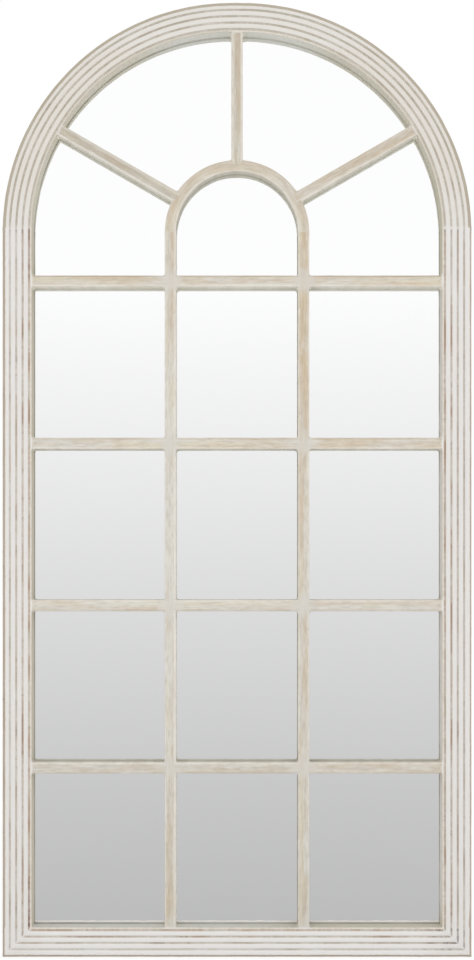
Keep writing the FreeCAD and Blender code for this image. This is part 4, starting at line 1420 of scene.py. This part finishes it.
def floor():
    bpy.ops.object.select_all(action="DESELECT")
    bpy.ops.mesh.primitive_plane_add(size=24, location=(0, 0, -0.1 * MM))
    piece = bpy.context.active_object
    piece.name = "floor"
    piece.visible_glossy = False
    material, tree, shader = new_material("studio_floor")
    shader.inputs["Roughness"].default_value = 0.9
    shader.inputs["Specular IOR Level"].default_value = 0.0
    shader.inputs["Emission Color"].default_value = (1, 1, 1, 1)
    seen = put(tree, "ShaderNodeLightPath").outputs["Is Camera Ray"]
    grey = blend(tree, seen, (0.86, 0.86, 0.86, 1), (0.36, 0.36, 0.36, 1))
    tree.links.new(grey, shader.inputs["Base Color"])
    tree.links.new(times(tree, seen, 0.68), shader.inputs["Emission Strength"])
    dress(piece, material)


# Brightness of the room in the mirror, by the sine of the angle above or below level
ROOM_LEVELS = [
    (-0.337, 186), (-0.2126, 199), (-0.178, 204), (-0.0576, 218), (-0.0227, 222),
    (0.0888, 236), (0.2405, 253),
]
ROOM_REACH = 0.4
EYE_DISTANCE = 2.06


def mirrored_room(tree):
    """Grey fade of the room, darkest at the floor."""
    direction = put(tree, "ShaderNodeTexCoord").outputs["Generated"]
    height = put(tree, "ShaderNodeSeparateXYZ", {0: direction}).outputs[2]
    limits = {"Value": height, "From Min": -ROOM_REACH, "From Max": ROOM_REACH}
    ramp = put(tree, "ShaderNodeValToRGB", {0: put(tree, "ShaderNodeMapRange", limits).outputs[0]})
    stops = ramp.color_ramp.elements
    while len(stops) < len(ROOM_LEVELS):
        stops.new(0.5)
    for stop, (sine, level) in zip(stops, ROOM_LEVELS):
        stop.position = (sine + ROOM_REACH) / (2 * ROOM_REACH)
        stop.color = colour(level, level, level)
    return ramp.outputs[0]


def surroundings():
    """White to the eye, even soft light on the wood, and a room that darkens downwards in the mirror."""
    world = bpy.data.worlds.new("studio")
    bpy.context.scene.world = world
    world.use_nodes = True
    tree = world.node_tree
    tree.nodes.clear()

    def background(shade, strength):
        return put(tree, "ShaderNodeBackground", {"Color": shade, "Strength": strength}).outputs[0]

    def either(share, first, second):
        return put(tree, "ShaderNodeMixShader", {0: share, 1: first, 2: second}).outputs[0]

    white = (1, 1, 1, 1)
    rays = put(tree, "ShaderNodeLightPath").outputs
    mirrored = calc(tree, "MAXIMUM", rays["Is Glossy Ray"], rays["Is Transmission Ray"])
    mirrored = times(tree, mirrored, calc(tree, "LESS_THAN", rays["Diffuse Depth"], 0.5))
    light = either(mirrored, background(white, 0.96), background(mirrored_room(tree), 1.04))
    seen = either(rays["Is Camera Ray"], light, background(white, 1.0))
    put(tree, "ShaderNodeOutputWorld", {"Surface": seen})


def soft_lamp(name, place, target, size, power):
    bpy.ops.object.select_all(action="DESELECT")
    bpy.ops.object.light_add(type="AREA", location=place)
    lamp = bpy.context.active_object
    lamp.name = name
    lamp.rotation_euler = (Vector(target) - Vector(place)).to_track_quat("-Z", "Y").to_euler()
    lamp.data.shape = "DISK"
    lamp.data.size = size
    lamp.data.energy = power
    lamp.visible_glossy = False


def camera():
    place = (0, FRONT - EYE_DISTANCE, EYE_LEVEL[2])
    bpy.ops.object.camera_add(location=place, rotation=(math.radians(90), 0, 0))
    eye = bpy.context.active_object
    eye.data.sensor_width = 36
    eye.data.lens = 40.33
    eye.data.shift_y = 0.0785
    eye.data.clip_start = 0.01
    bpy.context.scene.camera = eye


floor()
surroundings()
soft_lamp("front_lamp", place=(-0.1, -3.0, 1.5), target=(0, 0, 0.85), size=2.2, power=11)
camera()
bpy.context.scene.view_settings.view_transform = "Standard"
